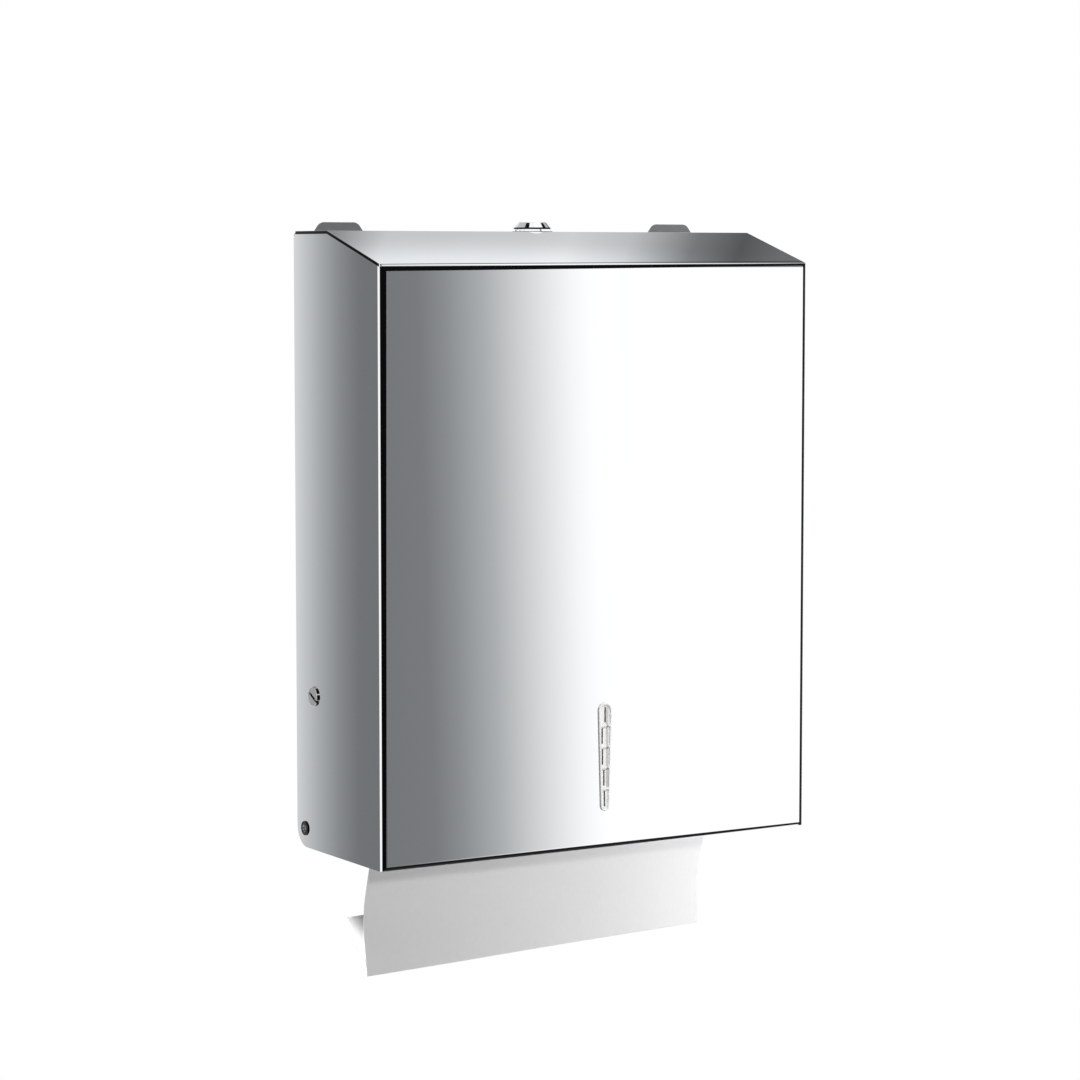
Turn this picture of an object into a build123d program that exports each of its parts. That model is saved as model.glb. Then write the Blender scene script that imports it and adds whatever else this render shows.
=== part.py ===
from build123d import *

import math
import os

# Wall-hung dispenser for folded paper towels, in millimetres.
# +X is to the right seen from the front, the front faces -Y and +Z is up. The wall is the plane Y = 0.
# The origin is the middle of the wall-screw pattern, on the rear face of the back plate.
# Distances called INSET run forward from the wall, and those called RISE run up from the cover's lower edge.

# Folded towels, which set the cover's width and depth
TOWEL_WIDTH = 225.0
TOWEL_FOLD = 78.0
STACK_HEIGHT = 150.0
STACK_INSET = 6.0
STACK_BULGE = 1.5
STACK_ROUND = 4.0
STACK_SEAT = 0.3

# Cover, one bent sheet
SIDE_ROOM = 25.0
FRONT_ROOM = 16.0
COVER_HEIGHT = 340.0
SLOPE_DROP = 18.0
FLAT_DEPTH = 40.0
COVER_SHEET = 0.8
COVER_BEND = 3.0
RIDGE_BEND = 2.0
BOTTOM_RETURN = 14.0
REAR_FLANGE = 7.0
WALL_GAP = 0.8
CORNER_ROUND = 11.5
CREST_ROUND = 3.0
SEAM_LEDGE = 0.3
SEAM_WIDTH = 1.3
SEAM_DEPTH = 0.5

# Back plate and its ears
PLATE_SHEET = 1.0
PLATE_GAP = 0.3
PLATE_TOP_GAP = 1.5
PLATE_FOOT_GAP = 2.0
WALL_HOLE_PITCH_X = 160.0
WALL_HOLE_PITCH_Z = 200.0
WALL_HOLE_RADIUS = 3.5
EAR_INSET = 28.0
EAR_BASE = 32.5
EAR_CREST = 23.0
EAR_RISE = 5.0
EAR_ROUND = 5.0
BEAD_PITCH = 96.0
BEAD_LENGTH = 210.0
BEAD_RADIUS = 5.0
BEAD_HEIGHT = 2.0

# Cheeks
CHEEK_SHEET = 1.0
SIDE_GAP = 2.0
CHEEK_FLANGE = 13.0
CHEEK_BEND = 1.8
CHEEK_TOP_DEPTH = 24.0
CHEEK_TOP_GAP = 14.0
CHEEK_FRONT_GAP = 5.0
CHEEK_FILLET = 10.0
SLOT_RIM = 6.0

# Hinge and opening stop
HINGE_INSET = 10.4
HINGE_RISE = 10.5
HINGE_RADIUS = 2.5
HINGE_TENON_RADIUS = 2.0
HINGE_HEAD_RADIUS = 4.0
HINGE_HEAD_HEIGHT = 0.6
HINGE_HEAD_ROUND = 0.25
HINGE_UPSET_RADIUS = 3.6
HINGE_UPSET_HEIGHT = 1.2
HINGE_WASHER_RADIUS = 6.0
RUNNING_FIT = 0.05
HEAD_PLAY = 0.15
STOP_INSET = 22.0
STOP_RISE = 85.4
OPEN_ANGLE = 45.0
STOP_SCREW_RADIUS = 2.5
STOP_HEAD_RADIUS = 5.4
STOP_HEAD_HEIGHT = 1.2
STOP_HEAD_ROUND = 0.4
STOP_SLOT_WIDTH = 1.5
STOP_SLOT_DEPTH = 0.8
STOP_SLOT_TURN = 28.0
STOP_TIP = 1.0
BUSH_RADIUS = 3.8
BUSH_FLANGE_RADIUS = 6.0
BUSH_PLAY = 0.3
STOP_WASHER_RADIUS = 6.5
STOP_WASHER_SHEET = 1.0
STOP_NUT_FLATS = 8.0
STOP_NUT_HEIGHT = 4.0

# Tray and hanging towel
TRAY_RISE = 17.0
TRAY_SHEET = 1.0
TRAY_PLAY = 2.0
TRAY_LIP = 14.0
TRAY_END_FLANGE = 14.0
TRAY_BEND = 2.0
SLOT_INSET = 24.0
SLOT_DEPTH = 38.0
SLOT_END_PLAY = 5.5
SLOT_ROLL = 3.0
PAPER = 0.5
LEAF_INSET = 46.5
LEAF_BELLY_INSET = 27.7
LEAF_BELLY_DROP = 38.0
LEAF_BELLY_ROUND = 60.0
LEAF_HEM_INSET = 31.0
LEAF_HEM_DROP = 69.9
LEAF_TWIST = 4.2
LEAF_TILT = 2.6
FOLD_ROUND = 0.6
FLAP_RUN = 23.0
FLAP_RISE = 30.5

# Sight window
WINDOW_SHIFT = 2.0
WINDOW_RISE = 20.9
WINDOW_HEIGHT = 60.4
WINDOW_TOP_RADIUS = 4.35
WINDOW_FOOT_RADIUS = 2.85
WINDOW_RIM = 1.0
WINDOW_PROUD = 0.9
WINDOW_ROUND = 0.45
WINDOW_INSIDE = 1.6
WINDOW_BARB = 0.7
WINDOW_CELLS = 5
WINDOW_RIB = 1.2
WINDOW_DISH = 0.7
WINDOW_PLAY = 0.1

# Lock and keeper
LOCK_MARGIN = 2.8
BEZEL_RADIUS = 11.2
BEZEL_FLANGE = 0.9
BEZEL_LEDGE = 0.5
BEZEL_NECK = 0.6
BEZEL_NECK_DEPTH = 0.5
BEZEL_CREST_RADIUS = 7.8
BEZEL_HEIGHT = 5.1
BEZEL_ROUND = 1.2
GASKET_HEIGHT = 0.3
GASKET_LAP = 0.3
BARREL_RADIUS = 8.5
BARREL_FLATS = 15.0
BARREL_DROP = 16.0
BARREL_PLAY = 0.2
PLUG_RADIUS = 6.0
PLUG_RECESS = 0.6
PLUG_SQUARE = 7.0
KEYWAY_WIDTH = 1.6
KEYWAY_LENGTH = 8.0
KEYWAY_DEPTH = 9.0
LOCK_WASHER_RADIUS = 12.0
LOCK_WASHER_SHEET = 0.6
LOCK_NUT_FLATS = 22.0
LOCK_NUT_HEIGHT = 3.5
CAM_SHEET = 2.0
CAM_TIP_GAP = 3.8
CAM_HUB_RADIUS = 7.5
CAM_TIP_RADIUS = 4.5
CAM_PLAY = 0.1
CAM_SCREW_RADIUS = 1.5
CAM_SCREW_LENGTH = 8.0
CAM_SCREW_HEAD_RADIUS = 5.0
CAM_SCREW_HEAD_HEIGHT = 2.2
CAM_SCREW_CHAMFER = 0.9
KEEPER_SHEET = 1.2
KEEPER_WIDTH = 64.0
KEEPER_SIDE_GAP = 3.5
KEEPER_LEG = 22.0
KEEPER_BEND = 2.4
KEEPER_CAM_GAP = 2.4
KEEPER_SHELF_GAP = 3.2
KEEPER_LIP_OVERLAP = 4.0
KEEPER_LIP_ROUND = 3.0

# Rivets
RIVET_RADIUS = 2.0
RIVET_HEAD_RADIUS = 3.6
RIVET_HEAD_HEIGHT = 1.2
RIVET_HEAD_CHAMFER = 0.8
RIVET_FIT = 0.02
CHEEK_RIVET_COUNT = 3
CHEEK_RIVET_MARGIN = 40.0
TRAY_RIVET_PITCH = 44.0
KEEPER_RIVET_PITCH = 44.0

# Places that follow from the sizes above
BOTTOM = -COVER_HEIGHT / 2
TOP = COVER_HEIGHT / 2
FRONT_TOP = TOP - SLOPE_DROP
HALF_WIDTH = TOWEL_WIDTH / 2 + SIDE_ROOM
COVER_DEPTH = STACK_INSET + TOWEL_FOLD + FRONT_ROOM
INNER_X = HALF_WIDTH - COVER_SHEET
CHEEK_OUT = INNER_X - SIDE_GAP
CHEEK_IN = CHEEK_OUT - CHEEK_SHEET
PLATE_FOOT = BOTTOM + PLATE_FOOT_GAP
PLATE_TOP = TOP - PLATE_TOP_GAP
SLOPE = math.atan2(TOP - FRONT_TOP, COVER_DEPTH - FLAT_DEPTH)
HINGE = (-HINGE_INSET, BOTTOM + HINGE_RISE)
STOP = (-STOP_INSET, BOTTOM + STOP_RISE)
STOP_REACH = math.dist(HINGE, STOP)
STOP_ANGLE = math.degrees(math.atan2(STOP[1] - HINGE[1], STOP[0] - HINGE[0]))
STOP_SLOT = 2 * (BUSH_RADIUS + BUSH_PLAY)
TRAY_TOP = BOTTOM + TRAY_RISE
TRAY_FRONT = -(STACK_INSET + TOWEL_FOLD + TRAY_PLAY + TRAY_SHEET)
TRAY_REAR = -(PLATE_SHEET + CHEEK_BEND + PLATE_GAP)
LOCK_Y = -(FLAT_DEPTH - BEZEL_RADIUS - LOCK_MARGIN)
CAM_REACH = -LOCK_Y - PLATE_SHEET - KEEPER_SHEET - CAM_TIP_GAP
BEZEL_FOOT = TOP + GASKET_HEIGHT
BARREL_END = TOP - BARREL_DROP
CAM_TOP = BARREL_END - CAM_PLAY
CAM_FOOT = CAM_TOP - CAM_SHEET
KEEPER_SHELF = CAM_FOOT - CAM_SCREW_HEAD_HEIGHT - KEEPER_SHELF_GAP
KEEPER_LIP_REAR = LOCK_Y - CAM_HUB_RADIUS - KEEPER_CAM_GAP
KEEPER_FOOT = KEEPER_SHELF - KEEPER_SHEET - KEEPER_LEG


def block(x, y, z):
    """A box from three (low, high) pairs."""
    size = [max(pair) - min(pair) for pair in (x, y, z)]
    middle = [sum(pair) / 2 for pair in (x, y, z)]
    return Pos(*middle) * Box(*size)


def along_x(sketch, start, end):
    """Extrudes a sketch drawn in (Y, Z) from one X to another."""
    return extrude(Plane.YZ.offset(min(start, end)) * sketch, abs(end - start))


def along_z(sketch, start, end):
    """Extrudes a sketch drawn in (X, Y) from one Z to another."""
    return extrude(Plane.XY.offset(min(start, end)) * sketch, abs(end - start))


def rod_x(place, radius, start, end):
    """A cylinder along X through a (Y, Z) place."""
    return along_x(Pos(*place) * Circle(radius), start, end)


def rod_y(x, z, radius, start, end):
    """A cylinder along Y through (X, Z)."""
    disc = Pos(x, z) * Circle(radius)
    return extrude(Plane.XZ.offset(-max(start, end)) * disc, abs(end - start))


def rectangle(low, high):
    """A rectangle between two corners."""
    middle = [(a + b) / 2 for a, b in zip(low, high)]
    return Pos(*middle) * Rectangle(abs(high[0] - low[0]), abs(high[1] - low[1]))


def edges_near(shape, axis, **place):
    """Edges along an axis whose middle lies at the given coordinates."""
    found = shape.edges().filter_by(axis)
    for name, value in place.items():
        found = [e for e in found if abs(getattr(e.center(), name) - value) < 1e-3]
    return found


def hexagon(flats):
    """A hexagon by its width across flats."""
    return RegularPolygon(flats / 2, 6, major_radius=False)


def mirrored(shape):
    """The left one of a pair, from the right one."""
    return mirror(shape, about=Plane.YZ)


def both_sides(shape):
    """The two of a pair: the right one and its mirror image."""
    return Compound([shape, mirrored(shape)])


def below_top(depth):
    """Three (Y, Z) points on the cover's top outline, a depth square to the sheet: rear, ridge and front."""
    ridge_y = -FLAT_DEPTH + depth * math.tan(SLOPE / 2)
    front_y = -COVER_DEPTH + COVER_BEND
    front_z = TOP + (front_y + FLAT_DEPTH) * math.tan(SLOPE) - depth / math.cos(SLOPE)
    return [(0, TOP - depth), (ridge_y, TOP - depth), (front_y, front_z)]


def window_outline(inset):
    """Drop-shaped outline of the sight window in (X, Z), drawn in by an inset."""
    foot = BOTTOM + WINDOW_RISE + WINDOW_FOOT_RADIUS
    head = BOTTOM + WINDOW_RISE + WINDOW_HEIGHT - WINDOW_TOP_RADIUS
    circles = Pos(WINDOW_SHIFT, foot) * Circle(WINDOW_FOOT_RADIUS - inset)
    circles += Pos(WINDOW_SHIFT, head) * Circle(WINDOW_TOP_RADIUS - inset)
    return make_hull(circles.edges())


def window_body(inset, front, rear):
    """The window outline, drawn in by an inset, as a solid between two Y values."""
    return extrude(Plane.XZ.offset(-rear) * window_outline(inset), rear - front)


def barrel_section(play):
    """Section of the lock barrel in (X, Y): a circle with two flats."""
    disc = Circle(BARREL_RADIUS + play)
    flats = Rectangle(BARREL_FLATS + 2 * play, 4 * BARREL_RADIUS)
    return Pos(0, LOCK_Y) * (disc & flats)


def cover_shell():
    """Front, sides, slope and flat top of one bent sheet, open at the back and below."""
    outline = Polyline(
        (-WALL_GAP, BOTTOM), (-COVER_DEPTH, BOTTOM), (-COVER_DEPTH, FRONT_TOP),
        (-FLAT_DEPTH, TOP), (-WALL_GAP, TOP), close=True,
    )
    body = along_x(make_face(outline), -HALF_WIDTH, HALF_WIDTH)
    bends = edges_near(body, Axis.Z, Y=-COVER_DEPTH)
    bends += edges_near(body, Axis.X, Y=-COVER_DEPTH)
    body = fillet(bends, COVER_BEND)
    body = fillet(edges_near(body, Axis.X, Y=-FLAT_DEPTH, Z=TOP), RIDGE_BEND)
    rear = body.faces().sort_by(Axis.Y)[-1]
    shell = offset(body, amount=-COVER_SHEET, openings=[rear])
    inside = (-INNER_X, INNER_X)
    shell -= block(inside, (-COVER_DEPTH + BOTTOM_RETURN, 0), (BOTTOM - 1, BOTTOM + 2 * COVER_SHEET))
    top_rear = -(PLATE_SHEET + PLATE_GAP)
    shell -= block(inside, (top_rear, 0), (TOP - 2 * COVER_SHEET, TOP + 1))
    shell += block(inside, (top_rear - COVER_SHEET, top_rear), (TOP - REAR_FLANGE, TOP))
    shell = fillet(edges_near(shell, Axis.X, Y=-WALL_GAP, Z=BOTTOM), CORNER_ROUND)
    crest = (-WALL_GAP - CREST_ROUND, TOP - CREST_ROUND)
    corner = rectangle(crest, (0, TOP + 1)) - Pos(*crest) * Circle(CREST_ROUND)
    shell -= both_sides(along_x(corner, INNER_X, HALF_WIDTH + 1))
    seam_foot = reversed(below_top(SEAM_LEDGE + SEAM_WIDTH))
    seam = make_face(Polyline(*below_top(SEAM_LEDGE), *seam_foot, close=True))
    shell -= both_sides(along_x(seam, HALF_WIDTH - SEAM_DEPTH, HALF_WIDTH + 1))
    shell -= both_sides(rod_x(HINGE, HINGE_RADIUS + RUNNING_FIT, INNER_X - 1, HALF_WIDTH + 1))
    shell -= both_sides(rod_x(STOP, STOP_SCREW_RADIUS + RUNNING_FIT, INNER_X - 1, HALF_WIDTH + 1))
    shell -= window_body(WINDOW_RIM - WINDOW_PLAY, -COVER_DEPTH - 1, -COVER_DEPTH + 2 * COVER_SHEET)
    shell -= along_z(barrel_section(BARREL_PLAY), TOP - 2 * COVER_SHEET, TOP + 1)
    return shell


def sight_window():
    """Clear insert: a rim outside, ribbed cells, a neck through the slot and a barb behind the sheet."""
    rear = -COVER_DEPTH + COVER_SHEET + WINDOW_INSIDE
    window = window_body(0, -COVER_DEPTH - WINDOW_PROUD, -COVER_DEPTH)
    window = fillet(window.edges().group_by(Axis.Y)[0], WINDOW_ROUND)
    window += window_body(WINDOW_RIM, -COVER_DEPTH, rear)
    window += window_body(WINDOW_RIM - WINDOW_BARB, -COVER_DEPTH + COVER_SHEET + WINDOW_PLAY, rear)
    dish = window_body(WINDOW_RIM, -COVER_DEPTH - WINDOW_PROUD, -COVER_DEPTH - WINDOW_PROUD + WINDOW_DISH)
    cell = (WINDOW_HEIGHT - 2 * WINDOW_RIM) / WINDOW_CELLS
    for i in range(1, WINDOW_CELLS):
        middle = BOTTOM + WINDOW_RISE + WINDOW_RIM + i * cell
        dish -= block(
            (WINDOW_SHIFT - WINDOW_TOP_RADIUS, WINDOW_SHIFT + WINDOW_TOP_RADIUS),
            (-COVER_DEPTH - WINDOW_PROUD, -COVER_DEPTH),
            (middle - WINDOW_RIB / 2, middle + WINDOW_RIB / 2),
        )
    return window - dish


def back_plate():
    """Wall plate with four screw holes, two stiffening beads and two ears above the cover's top."""
    plate = Pos(0, (PLATE_FOOT + PLATE_TOP) / 2) * Rectangle(2 * CHEEK_OUT, PLATE_TOP - PLATE_FOOT)
    crest = TOP + EAR_RISE
    for x in (EAR_INSET - HALF_WIDTH, HALF_WIDTH - EAR_INSET):
        ear = Polyline(
            (x - EAR_BASE / 2, PLATE_TOP), (x - EAR_CREST / 2, crest),
            (x + EAR_CREST / 2, crest), (x + EAR_BASE / 2, PLATE_TOP), close=True,
        )
        plate += make_face(ear)
    plate = fillet(plate.vertices().group_by(Axis.Y)[-1], EAR_ROUND)
    for place in GridLocations(WALL_HOLE_PITCH_X, WALL_HOLE_PITCH_Z, 2, 2):
        plate -= place * Circle(WALL_HOLE_RADIUS)
    body = extrude(Plane.XZ * plate, PLATE_SHEET)
    for x in (-BEAD_PITCH / 2, BEAD_PITCH / 2):
        body += bead(x, BEAD_RADIUS, BEAD_HEIGHT + PLATE_SHEET)
    for x in (-BEAD_PITCH / 2, BEAD_PITCH / 2):
        body -= bead(x, BEAD_RADIUS - PLATE_SHEET, BEAD_HEIGHT)
    for x, z in cheek_rivet_places() + keeper_rivet_places():
        body -= rod_y(x, z, RIVET_RADIUS + RIVET_FIT, -PLATE_SHEET - 1, 1)
    return body


def bead(x, radius, height):
    """A long rounded bead pressed forward from the wall plane."""
    outline = Pos(x, 0) * SlotCenterToCenter(BEAD_LENGTH - 2 * BEAD_RADIUS, 2 * radius, rotation=90)
    return extrude(Plane.XZ * outline, height, taper=30)


def cheek():
    """Right cheek: a side plate with the hinge hole and the stop's curved slot, and a rear flange."""
    reach = STOP_REACH + STOP_SLOT / 2 + SLOT_RIM
    front = -(COVER_DEPTH - COVER_SHEET - CHEEK_FRONT_GAP)
    rear = -PLATE_SHEET
    top = TOP - CHEEK_TOP_GAP
    foot = (Pos(*HINGE) * Circle(reach)) & rectangle((front, PLATE_FOOT), (rear, HINGE[1] + reach))
    outline = foot + rectangle((-CHEEK_TOP_DEPTH, PLATE_FOOT), (rear, top))
    neck = [v for v in outline.vertices() if abs(v.X + CHEEK_TOP_DEPTH) < 1e-3 and v.Y < top - 1]
    outline = fillet(neck, CHEEK_FILLET)
    arc = CenterArc(HINGE, STOP_REACH, STOP_ANGLE, OPEN_ANGLE)
    outline -= SlotArc(arc, STOP_SLOT)
    outline -= Pos(*HINGE) * Circle(HINGE_TENON_RADIUS + RIVET_FIT)
    plate = along_x(outline, CHEEK_IN, CHEEK_OUT)
    plate += block((CHEEK_OUT - CHEEK_FLANGE, CHEEK_OUT), (rear - CHEEK_SHEET, rear), (PLATE_FOOT, top))
    plate = fillet(edges_near(plate, Axis.Z, X=CHEEK_OUT, Y=rear), CHEEK_BEND)
    plate = fillet(edges_near(plate, Axis.Z, X=CHEEK_IN, Y=rear - CHEEK_SHEET), CHEEK_BEND - CHEEK_SHEET)
    for x, z in cheek_rivet_places():
        plate -= rod_y(x, z, RIVET_RADIUS + RIVET_FIT, rear - 2 * CHEEK_SHEET, 0)
    for place in tray_rivet_places():
        plate -= rod_x(place, RIVET_RADIUS + RIVET_FIT, CHEEK_IN - 1, CHEEK_OUT + 1)
    return plate


def towel_tray():
    """Pan between the cheeks with a rolled slot, an upturned front lip and end flanges."""
    floor = (TRAY_TOP - TRAY_SHEET, TRAY_TOP)
    tray = block((-CHEEK_IN, CHEEK_IN), (TRAY_FRONT, TRAY_REAR), floor)
    lip = (TRAY_FRONT, TRAY_FRONT + TRAY_SHEET)
    tray += block((-CHEEK_IN, CHEEK_IN), lip, (floor[0], TRAY_TOP + TRAY_LIP))
    end = (CHEEK_IN - TRAY_SHEET, CHEEK_IN)
    tray += both_sides(block(end, (TRAY_FRONT, TRAY_REAR), (floor[0], TRAY_TOP + TRAY_END_FLANGE)))
    tray = fillet(edges_near(tray, Axis.X, Y=TRAY_FRONT, Z=floor[0]), TRAY_BEND)
    half_slot = TOWEL_WIDTH / 2 + SLOT_END_PLAY
    slot_y = (-SLOT_INSET - SLOT_DEPTH, -SLOT_INSET)
    tray -= block((-half_slot, half_slot), slot_y, (floor[0] - 1, TRAY_TOP + 1))
    for edge, inward in ((slot_y[0], 1), (slot_y[1], -1)):
        tray += slot_roll(edge, inward, half_slot)
    for place in tray_rivet_places():
        tray -= both_sides(rod_x(place, RIVET_RADIUS + RIVET_FIT, CHEEK_IN - 2 * TRAY_SHEET, CHEEK_IN + 1))
    return tray


def slot_roll(edge, inward, half_length):
    """Rounded lip that turns an edge of the dispensing slot down, so that paper slides over it."""
    ring = Circle(SLOT_ROLL) - Circle(SLOT_ROLL - TRAY_SHEET)
    quarter = ring & rectangle((0, 0), (inward * SLOT_ROLL, SLOT_ROLL))
    return along_x(Pos(edge, TRAY_TOP - SLOT_ROLL) * quarter, -half_length, half_length)


def lock_keeper():
    """Bracket on the back plate: a leg, a shelf under the cam and a notched lip in front of it."""
    rear = -PLATE_SHEET
    lip_front = KEEPER_LIP_REAR - KEEPER_SHEET
    lip_top = CAM_TOP + KEEPER_LIP_OVERLAP
    shelf = (KEEPER_SHELF - KEEPER_SHEET, KEEPER_SHELF)
    half = KEEPER_WIDTH / 2
    bracket = block((-half, half), (rear - KEEPER_SHEET, rear), (KEEPER_FOOT, shelf[1]))
    bracket += block((-half, half), (lip_front, rear), shelf)
    bracket += block((-half, half), (lip_front, KEEPER_LIP_REAR), (shelf[0], lip_top))
    inner_bend = KEEPER_BEND - KEEPER_SHEET
    bracket = fillet(edges_near(bracket, Axis.X, Y=rear, Z=shelf[1]), KEEPER_BEND)
    bracket = fillet(edges_near(bracket, Axis.X, Y=lip_front, Z=shelf[0]), KEEPER_BEND)
    bracket = fillet(edges_near(bracket, Axis.X, Y=rear - KEEPER_SHEET, Z=shelf[0]), inner_bend)
    bracket = fillet(edges_near(bracket, Axis.X, Y=KEEPER_LIP_REAR, Z=shelf[1]), inner_bend)
    bracket = fillet(edges_near(bracket, Axis.Y, Z=lip_top), KEEPER_LIP_ROUND)
    notch = BARREL_RADIUS + KEEPER_SIDE_GAP
    notch_z = (KEEPER_SHELF + inner_bend, lip_top + 1)
    bracket -= block((-notch, notch), (lip_front - 1, KEEPER_LIP_REAR + 1), notch_z)
    for x, z in keeper_rivet_places():
        bracket -= rod_y(x, z, RIVET_RADIUS + RIVET_FIT, rear - 2 * KEEPER_SHEET, 0)
    return bracket


def cheek_rivet_places():
    """(X, Z) of the rivets through the right cheek's flange and the left one's."""
    low = PLATE_FOOT + CHEEK_RIVET_MARGIN
    high = TOP - CHEEK_TOP_GAP - CHEEK_RIVET_MARGIN
    step = (high - low) / (CHEEK_RIVET_COUNT - 1)
    x = CHEEK_OUT - CHEEK_FLANGE / 2 - CHEEK_SHEET / 2
    return [(side * x, low + i * step) for side in (1, -1) for i in range(CHEEK_RIVET_COUNT)]


def tray_rivet_places():
    """(Y, Z) of the rivets through the tray's end flanges."""
    middle = (TRAY_FRONT + TRAY_REAR) / 2
    rise = TRAY_TOP + TRAY_END_FLANGE / 2 + RIVET_RADIUS / 2
    return [(middle - TRAY_RIVET_PITCH / 2, rise), (middle + TRAY_RIVET_PITCH / 2, rise)]


def keeper_rivet_places():
    """(X, Z) of the rivets through the keeper's leg."""
    z = KEEPER_FOOT + KEEPER_LEG / 2 - RIVET_RADIUS
    return [(-KEEPER_RIVET_PITCH / 2, z), (KEEPER_RIVET_PITCH / 2, z)]


def rivet(grip):
    """Rivet along +Z from a flush end at Z = 0 to a low round head above its grip."""
    head = Pos(0, 0, grip) * extrude(Circle(RIVET_HEAD_RADIUS), RIVET_HEAD_HEIGHT)
    head = chamfer(head.edges().group_by(Axis.Z)[-1], RIVET_HEAD_CHAMFER)
    return head + extrude(Circle(RIVET_RADIUS), grip)


def wall_rivets(places, grip):
    """Rivets whose flush ends lie in the wall plane and whose heads face forward."""
    return Compound([Pos(x, 0, z) * Rot(90, 0, 0) * rivet(grip) for x, z in places])


def tray_rivets():
    """Rivets from the cheeks' outer faces into the tray's end flanges, heads inside."""
    grip = CHEEK_SHEET + TRAY_SHEET
    right = [Pos(CHEEK_OUT, *place) * Rot(0, -90, 0) * rivet(grip) for place in tray_rivet_places()]
    return Compound(right + [mirrored(one) for one in right])


def hinge_pin():
    """Right hinge pin: a round head outside, a shoulder that the cover turns on and an upset end inside."""
    seat = HALF_WIDTH + HEAD_PLAY
    head = rod_x(HINGE, HINGE_HEAD_RADIUS, seat, seat + HINGE_HEAD_HEIGHT)
    head = fillet(head.edges().group_by(Axis.X)[-1], HINGE_HEAD_ROUND)
    pin = head + rod_x(HINGE, HINGE_RADIUS, CHEEK_OUT, seat)
    pin += rod_x(HINGE, HINGE_TENON_RADIUS, CHEEK_IN, CHEEK_OUT)
    return pin + rod_x(HINGE, HINGE_UPSET_RADIUS, CHEEK_IN - HINGE_UPSET_HEIGHT, CHEEK_IN)


def hinge_washer():
    """Nylon washer on the right hinge pin, between cheek and cover."""
    ring = Circle(HINGE_WASHER_RADIUS) - Circle(HINGE_RADIUS + RUNNING_FIT)
    return along_x(Pos(*HINGE) * ring, CHEEK_OUT, INNER_X - HEAD_PLAY)


def stop_screw():
    """Right stop screw: a slotted pan head on the cover's side and a shank through the cheek's slot."""
    head = rod_x(STOP, STOP_HEAD_RADIUS, HALF_WIDTH, HALF_WIDTH + STOP_HEAD_HEIGHT)
    head = fillet(head.edges().group_by(Axis.X)[-1], STOP_HEAD_ROUND)
    groove = Box(2 * STOP_SLOT_DEPTH, 3 * STOP_HEAD_RADIUS, STOP_SLOT_WIDTH)
    head -= Pos(HALF_WIDTH + STOP_HEAD_HEIGHT, *STOP) * Rot(STOP_SLOT_TURN, 0, 0) * groove
    return head + rod_x(STOP, STOP_SCREW_RADIUS, stop_stack()[3] - STOP_TIP, HALF_WIDTH)


def stop_stack():
    """X of the faces along the right stop screw, inwards: bush flange, bush end, washer and nut."""
    flange = CHEEK_OUT + BUSH_PLAY
    bush_end = CHEEK_IN - BUSH_PLAY
    washer = bush_end - STOP_WASHER_SHEET
    return [flange, bush_end, washer, washer - STOP_NUT_HEIGHT]


def stop_bush():
    """Nylon bush that runs in the right cheek's curved slot."""
    flange, end = stop_stack()[:2]
    bush = rod_x(STOP, BUSH_FLANGE_RADIUS, flange, INNER_X) + rod_x(STOP, BUSH_RADIUS, end, flange)
    return bush - rod_x(STOP, STOP_SCREW_RADIUS + RUNNING_FIT, end - 1, INNER_X + 1)


def stop_washer():
    """Washer behind the right cheek's curved slot."""
    ring = Circle(STOP_WASHER_RADIUS) - Circle(STOP_SCREW_RADIUS + RUNNING_FIT)
    return along_x(Pos(*STOP) * ring, stop_stack()[1], stop_stack()[2])


def stop_nut():
    """Hexagon nut on the right stop screw."""
    ring = hexagon(STOP_NUT_FLATS) - Circle(STOP_SCREW_RADIUS + RIVET_FIT)
    return along_x(Pos(*STOP) * ring, stop_stack()[2], stop_stack()[3])


def towel_stack():
    """Stack of folded towels on the tray, a little fuller at the folded edges' mid-height."""
    low = TRAY_TOP + STACK_SEAT
    high = low + STACK_HEIGHT
    rear = -STACK_INSET - STACK_BULGE
    front = -STACK_INSET - TOWEL_FOLD + STACK_BULGE
    middle = (low + high) / 2
    sides = [
        Line((rear, low), (front, low)),
        ThreePointArc((front, low), (front - STACK_BULGE, middle), (front, high)),
        Line((front, high), (rear, high)),
        ThreePointArc((rear, high), (rear + STACK_BULGE, middle), (rear, low)),
    ]
    outline = make_face(sides)
    outline = fillet(outline.vertices(), STACK_ROUND)
    return along_x(outline, -TOWEL_WIDTH / 2, TOWEL_WIDTH / 2)


def leaf_outline(side):
    """Section of the hanging towel at its left (-1) or right (1) edge: a leaf, a fold and a flap."""
    back = side * LEAF_TWIST
    lift = side * LEAF_TILT
    hem = (-LEAF_HEM_INSET + back, BOTTOM - LEAF_HEM_DROP + lift)
    points = [
        (-LEAF_INSET, TRAY_TOP),
        (-LEAF_BELLY_INSET + back / 2, BOTTOM - LEAF_BELLY_DROP + lift / 2),
        hem,
        (hem[0] + FLAP_RUN, hem[1] + FLAP_RISE),
    ]
    path = FilletPolyline(*points, radius=[LEAF_BELLY_ROUND, FOLD_ROUND])
    return make_face(offset(path, amount=PAPER / 2, side=Side.BOTH))


def leading_towel():
    """Towel that hangs out of the slot, with its last panel folded back behind it."""
    left = Plane.YZ.offset(-TOWEL_WIDTH / 2) * leaf_outline(-1)
    right = Plane.YZ.offset(TOWEL_WIDTH / 2) * leaf_outline(1)
    return loft([left, right], ruled=True)


def lock_gasket():
    """Thin dark gasket between the lock's bezel and the flat top."""
    ring = Circle(BEZEL_RADIUS + GASKET_LAP) - Circle(BARREL_RADIUS + BARREL_PLAY)
    return along_z(Pos(0, LOCK_Y) * ring, TOP, BEZEL_FOOT)


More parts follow.
